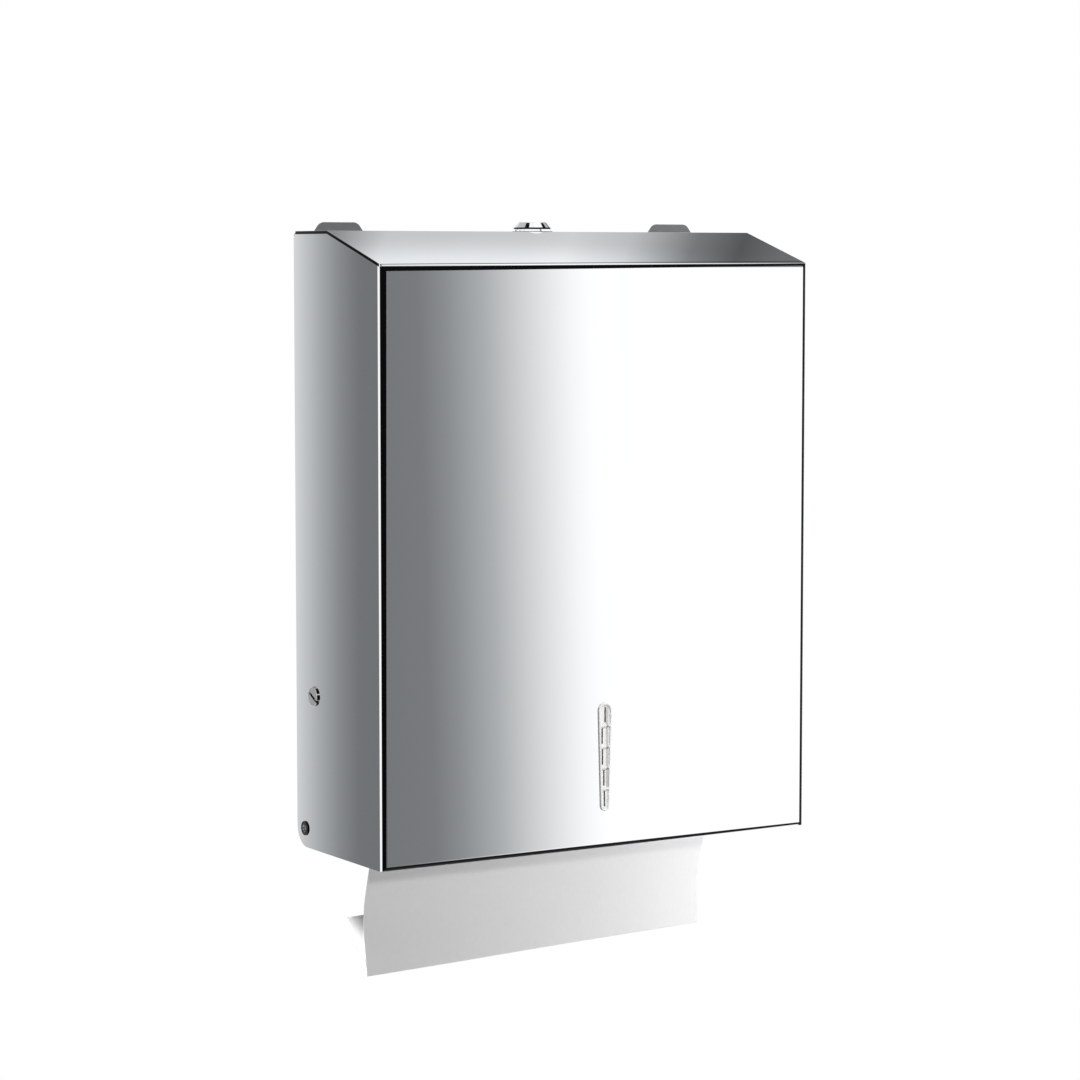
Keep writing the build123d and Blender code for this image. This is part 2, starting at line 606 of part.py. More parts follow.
def lock_housing():
    """Bezel on a barrel with two flats, bored for the plug: a flange, a narrow neck and a low cone."""
    crest = BEZEL_FOOT + BEZEL_HEIGHT
    flange = BEZEL_FOOT + BEZEL_FLANGE
    cone = BEZEL_RADIUS - BEZEL_LEDGE
    neck = cone - BEZEL_NECK_DEPTH
    profile = Polyline(
        (0, BEZEL_FOOT), (BEZEL_RADIUS, BEZEL_FOOT), (BEZEL_RADIUS, flange), (neck, flange),
        (neck, flange + BEZEL_NECK), (cone, flange + BEZEL_NECK), (BEZEL_CREST_RADIUS, crest),
        (0, crest), close=True,
    )
    bezel = Pos(0, LOCK_Y, 0) * revolve(Plane.XZ * make_face(profile), Axis.Z)
    bezel = fillet(bezel.edges().filter_by(GeomType.CIRCLE).group_by(Axis.Z)[-1], BEZEL_ROUND)
    housing = bezel + along_z(barrel_section(0), BARREL_END, BEZEL_FOOT)
    return housing - along_z(Pos(0, LOCK_Y) * Circle(PLUG_RADIUS + RUNNING_FIT), BARREL_END - 1, crest + 1)


def lock_washer():
    """Toothless lock washer under the flat top."""
    ring = Circle(LOCK_WASHER_RADIUS) - Circle(BARREL_RADIUS + BARREL_PLAY)
    return along_z(Pos(0, LOCK_Y) * ring, TOP - COVER_SHEET - LOCK_WASHER_SHEET, TOP - COVER_SHEET)


def lock_nut():
    """Hexagon nut that clamps the lock to the flat top."""
    top = TOP - COVER_SHEET - LOCK_WASHER_SHEET
    ring = hexagon(LOCK_NUT_FLATS) - Circle(BARREL_RADIUS + RIVET_FIT)
    return along_z(Pos(0, LOCK_Y) * ring, top - LOCK_NUT_HEIGHT, top)


def lock_plug():
    """Turning plug with a keyway above and a square tail that drives the cam."""
    face = BEZEL_FOOT + BEZEL_HEIGHT - PLUG_RECESS
    plug = along_z(Pos(0, LOCK_Y) * Circle(PLUG_RADIUS), BARREL_END, face)
    plug += along_z(Pos(0, LOCK_Y) * Rectangle(PLUG_SQUARE, PLUG_SQUARE), CAM_FOOT, BARREL_END)
    keyway = Pos(0, LOCK_Y) * Rectangle(KEYWAY_WIDTH, KEYWAY_LENGTH)
    plug -= along_z(keyway, face - KEYWAY_DEPTH, face + 1)
    thread = Pos(0, LOCK_Y) * Circle(CAM_SCREW_RADIUS + RIVET_FIT)
    return plug - along_z(thread, CAM_FOOT - 1, CAM_FOOT + CAM_SCREW_LENGTH)


def lock_cam():
    """Cam on the plug's tail, which points to the wall when the lock is open."""
    hub = Pos(0, LOCK_Y) * Circle(CAM_HUB_RADIUS)
    tip = Pos(0, LOCK_Y + CAM_REACH - CAM_TIP_RADIUS) * Circle(CAM_TIP_RADIUS)
    side = PLUG_SQUARE + 2 * CAM_PLAY
    blade = make_hull((hub + tip).edges()) - Pos(0, LOCK_Y) * Rectangle(side, side)
    return along_z(blade, CAM_FOOT, CAM_TOP)


def cam_screw():
    """Screw that holds the cam on the plug."""
    low = CAM_FOOT - CAM_SCREW_HEAD_HEIGHT
    head = along_z(Pos(0, LOCK_Y) * Circle(CAM_SCREW_HEAD_RADIUS), low, CAM_FOOT)
    head = chamfer(head.edges().group_by(Axis.Z)[0], CAM_SCREW_CHAMFER)
    slot = Pos(0, LOCK_Y, low) * Box(STOP_SLOT_WIDTH, 3 * CAM_SCREW_HEAD_RADIUS, CAM_SCREW_HEAD_HEIGHT)
    shank = along_z(Pos(0, LOCK_Y) * Circle(CAM_SCREW_RADIUS), CAM_FOOT, CAM_FOOT + CAM_SCREW_LENGTH - 1)
    return head - slot + shank


def build_parts():
    """Every node of the dispenser by name."""
    return {
        "back_plate": back_plate(),
        "left_cheek": mirrored(cheek()),
        "right_cheek": cheek(),
        "towel_tray": towel_tray(),
        "lock_keeper": lock_keeper(),
        "cheek_rivets": wall_rivets(cheek_rivet_places(), PLATE_SHEET + CHEEK_SHEET),
        "keeper_rivets": wall_rivets(keeper_rivet_places(), PLATE_SHEET + KEEPER_SHEET),
        "tray_rivets": tray_rivets(),
        "hinge_pin_left": mirrored(hinge_pin()),
        "hinge_pin_right": hinge_pin(),
        "hinge_washers": both_sides(hinge_washer()),
        "towel_stack": towel_stack(),
        "cover_shell": cover_shell(),
        "sight_window": sight_window(),
        "stop_screw_left": mirrored(stop_screw()),
        "stop_screw_right": stop_screw(),
        "stop_bush_left": mirrored(stop_bush()),
        "stop_bush_right": stop_bush(),
        "stop_washers": both_sides(stop_washer()),
        "stop_nuts": both_sides(stop_nut()),
        "lock_gasket": lock_gasket(),
        "lock_housing": lock_housing(),
        "lock_washer": lock_washer(),
        "lock_nut": lock_nut(),
        "lock_plug": lock_plug(),
        "lock_cam": lock_cam(),
        "cam_screw": cam_screw(),
        "leading_towel": leading_towel(),
    }


os.makedirs("parts", exist_ok=True)
for name, shape in build_parts().items():
    export_step(shape, f"parts/{name}.step")
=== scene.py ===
"""Looks of a wall-hung dispenser for folded paper towels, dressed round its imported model.

Lengths are in metres, in the part's own frame: +X is to the right, the front faces -Y,
the wall is the plane Y = 0 and +Z is up.
"""

import logging
import math
import random
from dataclasses import dataclass
from enum import Enum
from typing import Any, Callable, Optional, Sequence, Union

import bpy
from mathutils import Matrix, Vector, noise

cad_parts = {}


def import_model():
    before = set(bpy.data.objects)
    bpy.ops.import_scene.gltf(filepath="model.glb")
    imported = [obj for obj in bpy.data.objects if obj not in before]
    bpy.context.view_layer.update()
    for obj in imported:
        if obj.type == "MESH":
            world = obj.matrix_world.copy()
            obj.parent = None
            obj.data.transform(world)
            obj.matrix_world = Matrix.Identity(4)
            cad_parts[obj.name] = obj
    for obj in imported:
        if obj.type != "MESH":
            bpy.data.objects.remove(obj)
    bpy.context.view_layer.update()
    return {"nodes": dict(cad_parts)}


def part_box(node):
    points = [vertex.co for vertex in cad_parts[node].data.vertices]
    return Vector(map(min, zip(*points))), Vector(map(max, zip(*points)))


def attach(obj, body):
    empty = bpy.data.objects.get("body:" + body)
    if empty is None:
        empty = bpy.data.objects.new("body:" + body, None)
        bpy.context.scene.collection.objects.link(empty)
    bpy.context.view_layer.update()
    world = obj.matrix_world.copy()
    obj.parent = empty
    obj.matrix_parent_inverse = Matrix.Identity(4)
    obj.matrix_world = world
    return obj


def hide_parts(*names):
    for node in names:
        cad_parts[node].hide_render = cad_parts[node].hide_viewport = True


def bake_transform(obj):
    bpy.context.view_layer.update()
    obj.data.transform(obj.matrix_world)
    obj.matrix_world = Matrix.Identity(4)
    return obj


log = logging.getLogger("towel_dispenser")

MM = 0.001

Triple = tuple[float, float, float]
Colour = Triple
Point = tuple[float, float]
Term = Union["Field", float]


class Slot(Enum):
    """Material slots that the record gives to the pieces."""

    COVER = "mirror_steel"
    CHASSIS = "satin_steel"
    RIVET = "rivet_steel"
    PIN = "dark_steel"
    SCREW = "screw_steel"
    ZINC = "zinc_steel"
    LOCK = "lock_chrome"
    WINDOW = "clear_plastic"
    BUSH = "nylon"
    GASKET = "gasket_rubber"
    TOWEL = "towel_paper"


class Body(Enum):
    """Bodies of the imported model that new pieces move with."""

    CHASSIS = "chassis"
    TOWEL = "towel"


class Field:
    """One shader socket, on which Python's arithmetic adds Math nodes."""

    def __init__(self, graph: "Graph", socket: bpy.types.NodeSocket) -> None:
        """Keeps a socket and the graph that it belongs to."""
        self.graph = graph
        self.socket = socket

    def __add__(self, other: Term) -> "Field":
        """This value plus another."""
        return self.graph.math("ADD", self, other)

    __radd__ = __add__

    def __sub__(self, other: Term) -> "Field":
        """This value less another."""
        return self.graph.math("SUBTRACT", self, other)

    def __rsub__(self, other: Term) -> "Field":
        """Another value less this one."""
        return self.graph.math("SUBTRACT", other, self)

    def __mul__(self, other: Term) -> "Field":
        """This value times another."""
        return self.graph.math("MULTIPLY", self, other)

    __rmul__ = __mul__

    def __neg__(self) -> "Field":
        """This value with its sign changed."""
        return self.graph.math("MULTIPLY", self, -1.0)

    def __abs__(self) -> "Field":
        """This value without its sign."""
        return self.graph.math("ABSOLUTE", self)

    def __or__(self, other: Term) -> "Field":
        """The greater of two masks."""
        return self.graph.math("MAXIMUM", self, other)


class Graph:
    """Node tree of one material or world, with one method that adds any node."""

    def __init__(self, tree: bpy.types.NodeTree) -> None:
        """Takes over a tree and empties it."""
        self.tree = tree
        self.tree.nodes.clear()

    @staticmethod
    def pick(sockets: Any, key: Union[str, int]) -> bpy.types.NodeSocket:
        """Finds a socket.

        Args:
            sockets: a node's inputs or outputs.
            key: the socket's index, or its name among those in use.

        Returns:
            The socket.
        """
        if isinstance(key, int):
            return sockets[key]
        return next(s for s in sockets if s.name == key and not s.is_unavailable)

    def feed(self, socket: bpy.types.NodeSocket, value: Any) -> None:
        """Links a field to a socket, or sets the socket's own value.

        Args:
            socket: the input to feed.
            value: a field, a number or a colour.
        """
        if isinstance(value, Field):
            self.tree.links.new(value.socket, socket)
        elif socket.type == "RGBA":
            socket.default_value = (*value, 1.0)
        else:
            socket.default_value = value

    def node(
        self,
        kind: str,
        settings: Optional[dict[str, Any]] = None,
        sockets: Optional[dict[Union[str, int], Any]] = None,
        output: Union[str, int, None] = 0,
    ) -> Optional[Field]:
        """Adds a node.

        Args:
            kind: the node's type.
            settings: its properties, set first; stops are a ramp's (place, colour) pairs.
            sockets: values or fields for its inputs.
            output: the output to hand back, or None.

        Returns:
            The output as a field, if one was asked for.
        """
        made = self.tree.nodes.new(kind)
        for name, value in (settings or {}).items():
            if name == "stops":
                self.set_stops(made.color_ramp, value)
            else:
                setattr(made, name, value)
        for key, value in (sockets or {}).items():
            self.feed(self.pick(made.inputs, key), value)
        return None if output is None else Field(self, self.pick(made.outputs, output))

    @staticmethod
    def set_stops(ramp: bpy.types.ColorRamp, stops: Sequence[tuple[float, Colour]]) -> None:
        """Gives a ramp its stops.

        Args:
            ramp: the ramp.
            stops: (place, colour) pairs, from low to high.
        """
        while len(ramp.elements) > 1:
            ramp.elements.remove(ramp.elements[-1])
        ramp.elements[0].position = stops[0][0]
        ramp.elements[0].color = (*stops[0][1], 1.0)
        for place, colour in stops[1:]:
            ramp.elements.new(place).color = (*colour, 1.0)

    def math(self, operation: str, *terms: Term) -> Field:
        """A Math node on one or two values."""
        return self.node("ShaderNodeMath", {"operation": operation}, dict(enumerate(terms)))

    def step(self, value: Term, low: float, high: float) -> Field:
        """A mask that rises smoothly from 0 at low to 1 at high."""
        return self.node(
            "ShaderNodeMapRange",
            {"interpolation_type": "SMOOTHSTEP"},
            {"Value": value, "From Min": low, "From Max": high},
        )

    def band(self, value: Term, low: float, high: float, soft: float) -> Field:
        """A mask that is 1 between two values, with soft ends inside them."""
        return self.step(value, low, low + soft) * (1.0 - self.step(value, high - soft, high))

    def mix(self, share: Term, first: Any, second: Any) -> Field:
        """A colour between two, by a share of the second."""
        sockets = {"Factor": share, "A": first, "B": second}
        return self.node("ShaderNodeMix", {"data_type": "RGBA"}, sockets, "Result")

    def length(self, x: Term, y: Term, z: Term) -> Field:
        """Length of a vector, from its three parts."""
        vector = self.node("ShaderNodeCombineXYZ", None, {0: x, 1: y, 2: z})
        return self.node("ShaderNodeVectorMath", {"operation": "LENGTH"}, {0: vector}, "Value")

    def here(self) -> Field:
        """The place on the piece, in its object's coordinates."""
        return self.node("ShaderNodeTexCoord", output="Object")

    def axes(self) -> tuple[Field, Field, Field]:
        """X, Y and Z of the place on the piece.

        Returns:
            Three fields, in metres.
        """
        split = self.node("ShaderNodeSeparateXYZ", sockets={"Vector": self.here()})
        outputs = split.socket.node.outputs
        return tuple(Field(self, outputs[i]) for i in range(3))

    def clouds(self, scale: Union[float, Triple], detail: float = 2.0) -> Field:
        """Noise from 0 to 1.

        Args:
            scale: turns per metre, on all axes or on each.
            detail: octaves of finer noise.

        Returns:
            The noise.
        """
        turns = scale if isinstance(scale, tuple) else (scale, scale, scale)
        place = self.node("ShaderNodeVectorMath", {"operation": "MULTIPLY"}, {0: self.here(), 1: turns})
        sockets = {"Vector": place, "Scale": 1.0, "Detail": detail}
        return self.node("ShaderNodeTexNoise", None, sockets, "Fac")

    def bump(self, height: Term, depth: float, strength: float = 1.0) -> Field:
        """A normal from a height of 0 to 1 over a depth in metres."""
        sockets = {"Strength": strength, "Distance": depth, "Height": height}
        return self.node("ShaderNodeBump", None, sockets, "Normal")


@dataclass(frozen=True)
class Finish:
    """What every finish has: a name, and a material made from its shader values."""

    name: str

    def sockets(self, graph: Graph) -> dict[str, Any]:
        """Values of the Principled shader, by socket name."""
        raise NotImplementedError

    @staticmethod
    def metal(colour: Field, roughness: Field, normal: Field) -> dict[str, Any]:
        """Values of the shader for bare metal."""
        return {"Base Color": colour, "Metallic": 1.0, "Roughness": roughness, "Normal": normal}

    def material(self) -> bpy.types.Material:
        """Makes the material.

        Returns:
            The material, with its nodes linked.
        """
        made = bpy.data.materials.new(self.name)
        made.use_nodes = True
        graph = Graph(made.node_tree)
        shader = graph.node("ShaderNodeBsdfPrincipled", None, self.sockets(graph))
        graph.node("ShaderNodeOutputMaterial", None, {"Surface": shader}, None)
        return made


@dataclass(frozen=True)
class PolishedSheet(Finish):
    """Mirror-polished steel sheet of the cover, left with a mill finish inside.

    Dark reflections are painted into the bends round the front panel, and shade is painted black
    in the seam groove. Of the painted lines in the bends, a reach is how far behind the front panel a
    line runs, a rise is its height on its bend, and a lean or taper is how far it drifts per metre
    along the bend.
    """

    half_width: float
    front: float
    bottom: float
    top: float
    sheet: float = 0.8 * MM
    bend: float = 3.0 * MM
    flat_depth: float = 40.0 * MM
    slope_drop: float = 18.0 * MM
    seam_ledge: float = 0.3 * MM
    seam_width: float = 1.3 * MM
    seam_depth: float = 0.5 * MM
    seam_shade_spill: float = 0.22 * MM
    side_reach: float = 1.45 * MM
    side_lean: float = 0.0047
    crest_rise: float = 1.98 * MM
    crest_lean: float = 0.0052
    crest_taper: float = 0.0100
    crease_rise: Point = (2.62 * MM, 3.25 * MM)
    foot_reach: float = 3.0 * MM
    foot_rise: Point = (0.35 * MM, 2.4 * MM)
    foot_lean: float = 0.0085
    polish: Colour = (0.90, 0.91, 0.92)
    mill: Colour = (0.55, 0.56, 0.57)
    # painted dark reflection, laid into the bends round the front panel
    line: Colour = (0.008, 0.008, 0.009)
    # painted grey reflection line on the bend where the slope begins
    painted_crease_reflection: Colour = (0.20, 0.205, 0.21)
    # painted shade: black in the seam groove
    seam_shade: Colour = (0.006, 0.006, 0.006)
    lane_scale: Triple = (3.0, 3.0, 900.0)
    lane_height: float = 0.4e-6
    haze_scale: float = 14.0
    polish_roughness: Triple = (0.022, 0.012, 0.016)
    mill_roughness: Point = (0.26, 0.10)
    painted_line_roughness: float = 0.5

    def sockets(self, graph: Graph) -> dict[str, Any]:
        """Polish outside, mill finish inside, painted dark reflections in the bends and painted shade in
        the seams.
        """
        x, y, z = graph.axes()
        slope = math.atan2(self.slope_drop, -self.front - self.flat_depth)
        from_side = self.half_width - abs(x)
        from_front = y - self.front
        fall = graph.math("MAXIMUM", -y - self.flat_depth, 0.0) * math.tan(slope)
        from_top = self.top - fall - z
        from_foot = z - self.bottom
        depth = self.bend - graph.length(
            graph.math("MAXIMUM", self.bend - from_side, 0.0),
            graph.math("MAXIMUM", self.bend - from_front, 0.0),
            graph.math("MAXIMUM", self.bend - graph.math("MINIMUM", from_top, from_foot), 0.0),
        )
        inside = graph.step(depth, 0.4 * self.sheet, 0.8 * self.sheet)
        # painted dark reflections in the bends, and a painted grey reflection line where the slope begins
        line, painted_crease_reflection = self.painted_bend_reflections(graph, (x, y, z), from_side, slope)
        # painted shade in the seam groove, spilling a little onto the sheet beside it
        seam_shade = 1.0 - graph.step(from_side, 1.2 * self.seam_depth, 1.3 * self.seam_depth)
        seam_head = self.seam_ledge - self.seam_shade_spill
        seam_foot = self.seam_ledge + self.seam_width + self.seam_shade_spill
        seam_shade = seam_shade * graph.band(from_top, seam_head, seam_foot, 0.5 * self.seam_shade_spill)
        seam_shade = seam_shade * graph.step(from_front, 0.5 * self.bend, 0.6 * self.bend)
        lanes = graph.clouds(self.lane_scale, 3.0)
        haze = graph.clouds(self.haze_scale, 4.0)
        colour = graph.mix(inside, self.polish, graph.mix(lanes, self.mill, self.polish))
        colour = graph.mix(painted_crease_reflection * (1.0 - inside), colour, self.painted_crease_reflection)
        line = line * (1.0 - inside)
        colour = graph.mix(line, colour, self.line)
        colour = graph.mix(seam_shade, colour, self.seam_shade)
        base, by_lane, by_haze = self.polish_roughness
        polished = base + by_lane * lanes + by_haze * haze
        base, by_lane = self.mill_roughness
        milled = base + by_lane * lanes
        roughness = polished + inside * (milled - polished) + self.painted_line_roughness * line
        return self.metal(colour, roughness, graph.bump(lanes, self.lane_height))

    def painted_bend_reflections(
        self, graph: Graph, place: tuple[Field, Field, Field], from_side: Field, slope: float
    ) -> tuple[Field, Field]:
        """Masks of the dark reflections painted into the bends round the front panel.

        Args:
            graph: the material's graph.
            place: X, Y and Z.
            from_side: distance inside the nearer side.
            slope: angle of the sloping panel.

        Returns:
            The painted dark reflections, and the fine painted grey reflection line where the slope's bend
            begins.
        """
        x, y, z = place
        from_front = y - self.front
        crest = self.top - self.slope_drop - self.bend * math.tan((math.pi / 2 - slope) / 2)
        soft = 0.1 * self.bend

        def near(reach: float) -> Field:
            """A mask of what lies within a reach behind the front panel."""
            return 1.0 - graph.step(from_front, 0.88 * reach, reach)

        left = 1.0 - graph.step(x, -soft, soft)
        over = z - crest - self.crest_lean * x
        below = 1.0 - graph.step(over, self.crest_rise - soft, self.crest_rise)
        width = from_side - self.side_lean * z * left
        sides = (1.0 - graph.step(width, self.bend, self.bend + soft)) * near(self.side_reach) * below
        clear = graph.step(from_side, 0.3 * self.bend, 0.4 * self.bend)
        reach = near(self.foot_reach) * clear | near(self.side_reach)
        top = graph.step(z - crest - self.crest_taper * x, -soft, 0.0) * reach * below
        rise = z - self.bottom
        foot = 1.0 - graph.step(rise, self.foot_rise[1], self.foot_rise[1] + soft)
        foot = foot * graph.step(rise - self.foot_lean * x, self.foot_rise[0] - soft, self.foot_rise[0])
        foot = foot * reach
        # painted reflection: a grey line along the bend where the slope begins
        painted_crease_reflection = graph.band(over, *self.crease_rise, 0.3 * soft) * near(2.0 * self.bend)
        painted_crease_reflection = painted_crease_reflection * graph.step(from_side, 0.5 * self.sheet, self.sheet)
        return sides | top | foot, painted_crease_reflection


@dataclass(frozen=True)
class BrushedSheet(Finish):
    """Satin steel sheet with fine brush lines across it."""

    colour: Colour = (0.285, 0.29, 0.297)
    dark_share: float = 0.72
    pale_share: float = 1.18
    line_share: float = 0.75
    line_scale: Triple = (12.0, 2200.0, 2200.0)
    line_height: float = 6e-6
    patch_scale: float = 22.0
    roughness: float = 0.36

    def sockets(self, graph: Graph) -> dict[str, Any]:
        """Brush lines in colour, gloss and height, and slow patches of handling marks."""
        lines = graph.clouds(self.line_scale, 3.0)
        patches = graph.clouds(self.patch_scale, 3.0)
        dark = tuple(self.dark_share * c for c in self.colour)
        pale = tuple(self.pale_share * c for c in self.colour)
        share = self.line_share * lines + (1.0 - self.line_share) * patches
        roughness = self.roughness + 0.10 * lines + 0.08 * patches
        return self.metal(graph.mix(share, dark, pale), roughness, graph.bump(lines, self.line_height))


@dataclass(frozen=True)
class MachinedSteel(Finish):
    """Steel of the rivets, washers and nuts, and of the lock's cam and its screw."""

    colour: Colour
    roughness: float
    mottle: float = 0.25
    spot_scale: float = 420.0
    mark_scale: float = 2600.0
    mark_height: float = 4e-6

    def sockets(self, graph: Graph) -> dict[str, Any]:
        """A mottled plate with fine tool marks."""
        spots = graph.clouds(self.spot_scale, 3.0)
        marks = graph.clouds(self.mark_scale)
        dark = tuple((1.0 - self.mottle) * c for c in self.colour)
        colour = graph.mix(spots, dark, self.colour)
        roughness = self.roughness + 0.10 * marks + 0.06 * spots
        return self.metal(colour, roughness, graph.bump(marks, self.mark_height))


@dataclass(frozen=True)
class SlottedHead(Finish):
    """Screw with a bright face, with shade painted black in its slot and round its rim."""

    face: float
    centre: float
    depth: float = 0.4 * MM
    shade_break_pitch: float = 3.3 * MM
    shade_break_edge: Point = (-0.90, -0.75)
    mark_scale: float = 2600.0
    mark_height: float = 4e-6
    colour: Colour = (0.58, 0.58, 0.575)
    black: Colour = (0.012, 0.012, 0.012)

    def sockets(self, graph: Graph) -> dict[str, Any]:
        """A bright face, and painted black shade in the recesses, broken by bright bands along Z."""
        x, _, z = graph.axes()
        marks = graph.clouds(self.mark_scale)
        # painted shade: black wherever the head lies deeper than its face, in the slot and round the rim
        recess_shade = 1.0 - graph.step(abs(x), self.face - self.depth, self.face - 0.7 * self.depth)
        shade_breaks = graph.math("COSINE", (z - self.centre) * (2.0 * math.pi / self.shade_break_pitch))
        recess_shade = recess_shade * graph.step(shade_breaks, *self.shade_break_edge)
        colour = graph.mix(recess_shade, self.colour, self.black)
        roughness = 0.10 + 0.10 * marks + 0.2 * recess_shade
        return self.metal(colour, roughness, graph.bump(marks, self.mark_height))


@dataclass(frozen=True)
class PinHead(Finish):
    """Blackened pin, worn to bare specks in the middle of its head."""

    centre: Point
    core: float = 2.5 * MM
    wear: Point = (0.46, 0.60)
    spot_scale: float = 700.0
    spot_height: float = 8e-6
    black: Colour = (0.02, 0.02, 0.021)
    bare: Colour = (0.40, 0.40, 0.405)

    def sockets(self, graph: Graph) -> dict[str, Any]:
        """Specks of bare steel in the core, black round it."""
        _, y, z = graph.axes()
        radius = graph.length(0.0, y - self.centre[0], z - self.centre[1])
        spots = graph.clouds(self.spot_scale, 3.0)
        worn = graph.step(spots, *self.wear) * (1.0 - graph.step(radius, 0.6 * self.core, self.core))
        colour = graph.mix(worn, self.black, self.bare)
        return self.metal(colour, 0.26 + 0.16 * spots, graph.bump(spots, self.spot_height))


@dataclass(frozen=True)
class LockChrome(Finish):
    """Bright plate of the lock, with shade painted black in a band round the cone's rim."""

    rim_foot: float
    rim_head: float
    colour: Colour = (0.90, 0.91, 0.92)
    black: Colour = (0.006, 0.006, 0.006)
    mark_scale: Triple = (900.0, 900.0, 2500.0)
    mark_height: float = 0.5e-6

    def sockets(self, graph: Graph) -> dict[str, Any]:
        """Plate with faint polishing marks, and painted black shade round the rim."""
        _, _, z = graph.axes()
        soft = 0.05 * (self.rim_head - self.rim_foot)
        # painted shade: a black band round the cone's rim, above the flange
        rim = graph.band(z, self.rim_foot - soft, self.rim_head + soft, soft)
        marks = graph.clouds(self.mark_scale)
        colour = graph.mix(rim, self.colour, self.black)
        roughness = 0.03 + 0.03 * marks + 0.4 * rim
        return self.metal(colour, roughness, graph.bump(marks, self.mark_height))


@dataclass(frozen=True)
class WindowMoulding(Finish):
    """Milky clear moulding of the sight window, with the dark slot edge seen through its cells painted
    in, and painted shade.
    """

    middle: float
    foot: float
    height: float
    rim: float = 1.0 * MM
    rib: float = 1.2 * MM
    edge_offsets: tuple[float, ...] = (-0.3 * MM, -0.7 * MM, -1.6 * MM, -1.8 * MM, 0.1 * MM)
    edge_width: float = 1.1 * MM
    edge_soft: float = 0.12 * MM
    edge_fade: float = 0.6 * MM
    rib_shade_soft: float = 0.2 * MM
    pale_span: Triple = (0.4 * MM, 2.3 * MM, 0.5 * MM)
    pale_fade: float = 1.0 * MM
    flow_scale: Triple = (260.0, 260.0, 60.0)
    flow_height: float = 4e-6
    white: Colour = (0.97, 0.97, 0.965)
    # painted shade of the cells' right half
    pale: Colour = (0.62, 0.58, 0.55)
    # painted dark slot edge seen through the cells, and painted shade on the ribs
    dark: Colour = (0.035, 0.03, 0.028)

    def sockets(self, graph: Graph) -> dict[str, Any]:
        """White cells, painted grey shade on the right half and ribs, and a thin dark line painted in each
        cell.
        """
        x, _, z = graph.axes()
        across = x - self.middle
        cell = (self.height - 2.0 * self.rim) / len(self.edge_offsets)
        start = self.foot + self.rim
        lines = 0.0
        rib_shade = 0.0
        # painted: the dark slot edge seen through each cell, and painted shade on the rib above it
        for i, offset in enumerate(self.edge_offsets):
            low = start + i * cell + self.rib
            high = start + (i + 1) * cell - self.rib
            left_edge = offset - self.edge_width / 2
            side = graph.band(across, left_edge, left_edge + self.edge_width, self.edge_soft)
            lines = side * graph.band(z, low, high, self.edge_fade) | lines
            rib_shade = graph.band(z, high + 0.3 * self.rib, high + 0.9 * self.rib, self.rib_shade_soft) | rib_shade
        # painted shade over the right half of the cells
        right = graph.band(across, *self.pale_span)
        right = right * graph.band(z, start + cell, start + self.height - 3.0 * self.rim, self.pale_fade)
        flow = graph.clouds(self.flow_scale)
        colour = graph.mix(right * (0.55 + 0.6 * flow), self.white, self.pale)
        colour = graph.mix(lines | 0.7 * rib_shade * right, colour, self.dark)
        return {
            "Base Color": colour,
            "Roughness": 0.05 + 0.06 * flow,
            "IOR": 1.49,
            "Transmission Weight": 0.18,
            "Normal": graph.bump(flow, self.flow_height),
        }


@dataclass(frozen=True)
class Moulded(Finish):
    """Plain moulded part: nylon bushes and washers, or a rubber gasket."""

    colour: Colour
    roughness: float
    dark_share: float = 0.82
    grain_scale: float = 1500.0
    grain_height: float = 12e-6
    patch_scale: float = 150.0

    def sockets(self, graph: Graph) -> dict[str, Any]:
        """A fine mould grain over a slightly uneven colour."""
        grain = graph.clouds(self.grain_scale)
        patches = graph.clouds(self.patch_scale)
        dark = tuple(self.dark_share * c for c in self.colour)
        return {
            "Base Color": graph.mix(patches, dark, self.colour),
            "Roughness": self.roughness + 0.14 * grain,
            "Normal": graph.bump(grain, self.grain_height),
        }


@dataclass(frozen=True)
class TowelPaper(Finish):
    """White creped paper with a small embossed pattern."""

    colour: Colour = (0.90, 0.90, 0.905)
    shade: Colour = (0.84, 0.84, 0.845)
    emboss_pitch: float = 3.2 * MM
    emboss_depth: float = 0.05 * MM
    emboss_edge: Point = (0.2, 0.6)
    fibre_scale: Triple = (900.0, 900.0, 250.0)
    crepe_scale: Triple = (180.0, 2400.0, 2400.0)
    crepe_share: float = 0.3

    def sockets(self, graph: Graph) -> dict[str, Any]:
        """Fibres in the colour, crepe lines and rounded embossed spots in the height."""
        fibres = graph.clouds(self.fibre_scale, 4.0)
        crepe = graph.clouds(self.crepe_scale)
        spots = graph.node(
            "ShaderNodeTexVoronoi",
            {"feature": "SMOOTH_F1"},
            {"Vector": graph.here(), "Scale": 1.0 / self.emboss_pitch, "Randomness": 0.25},
            "Distance",
        )
        embossed = (1.0 - self.crepe_share) * graph.step(spots, *self.emboss_edge)
        height = embossed + self.crepe_share * crepe
        return {
            "Base Color": graph.mix(fibres, self.shade, self.colour),
            "Roughness": 0.86 + 0.10 * fibres,
            "Specular IOR Level": 0.15,
            "Normal": graph.bump(height, self.emboss_depth, 0.5),
        }


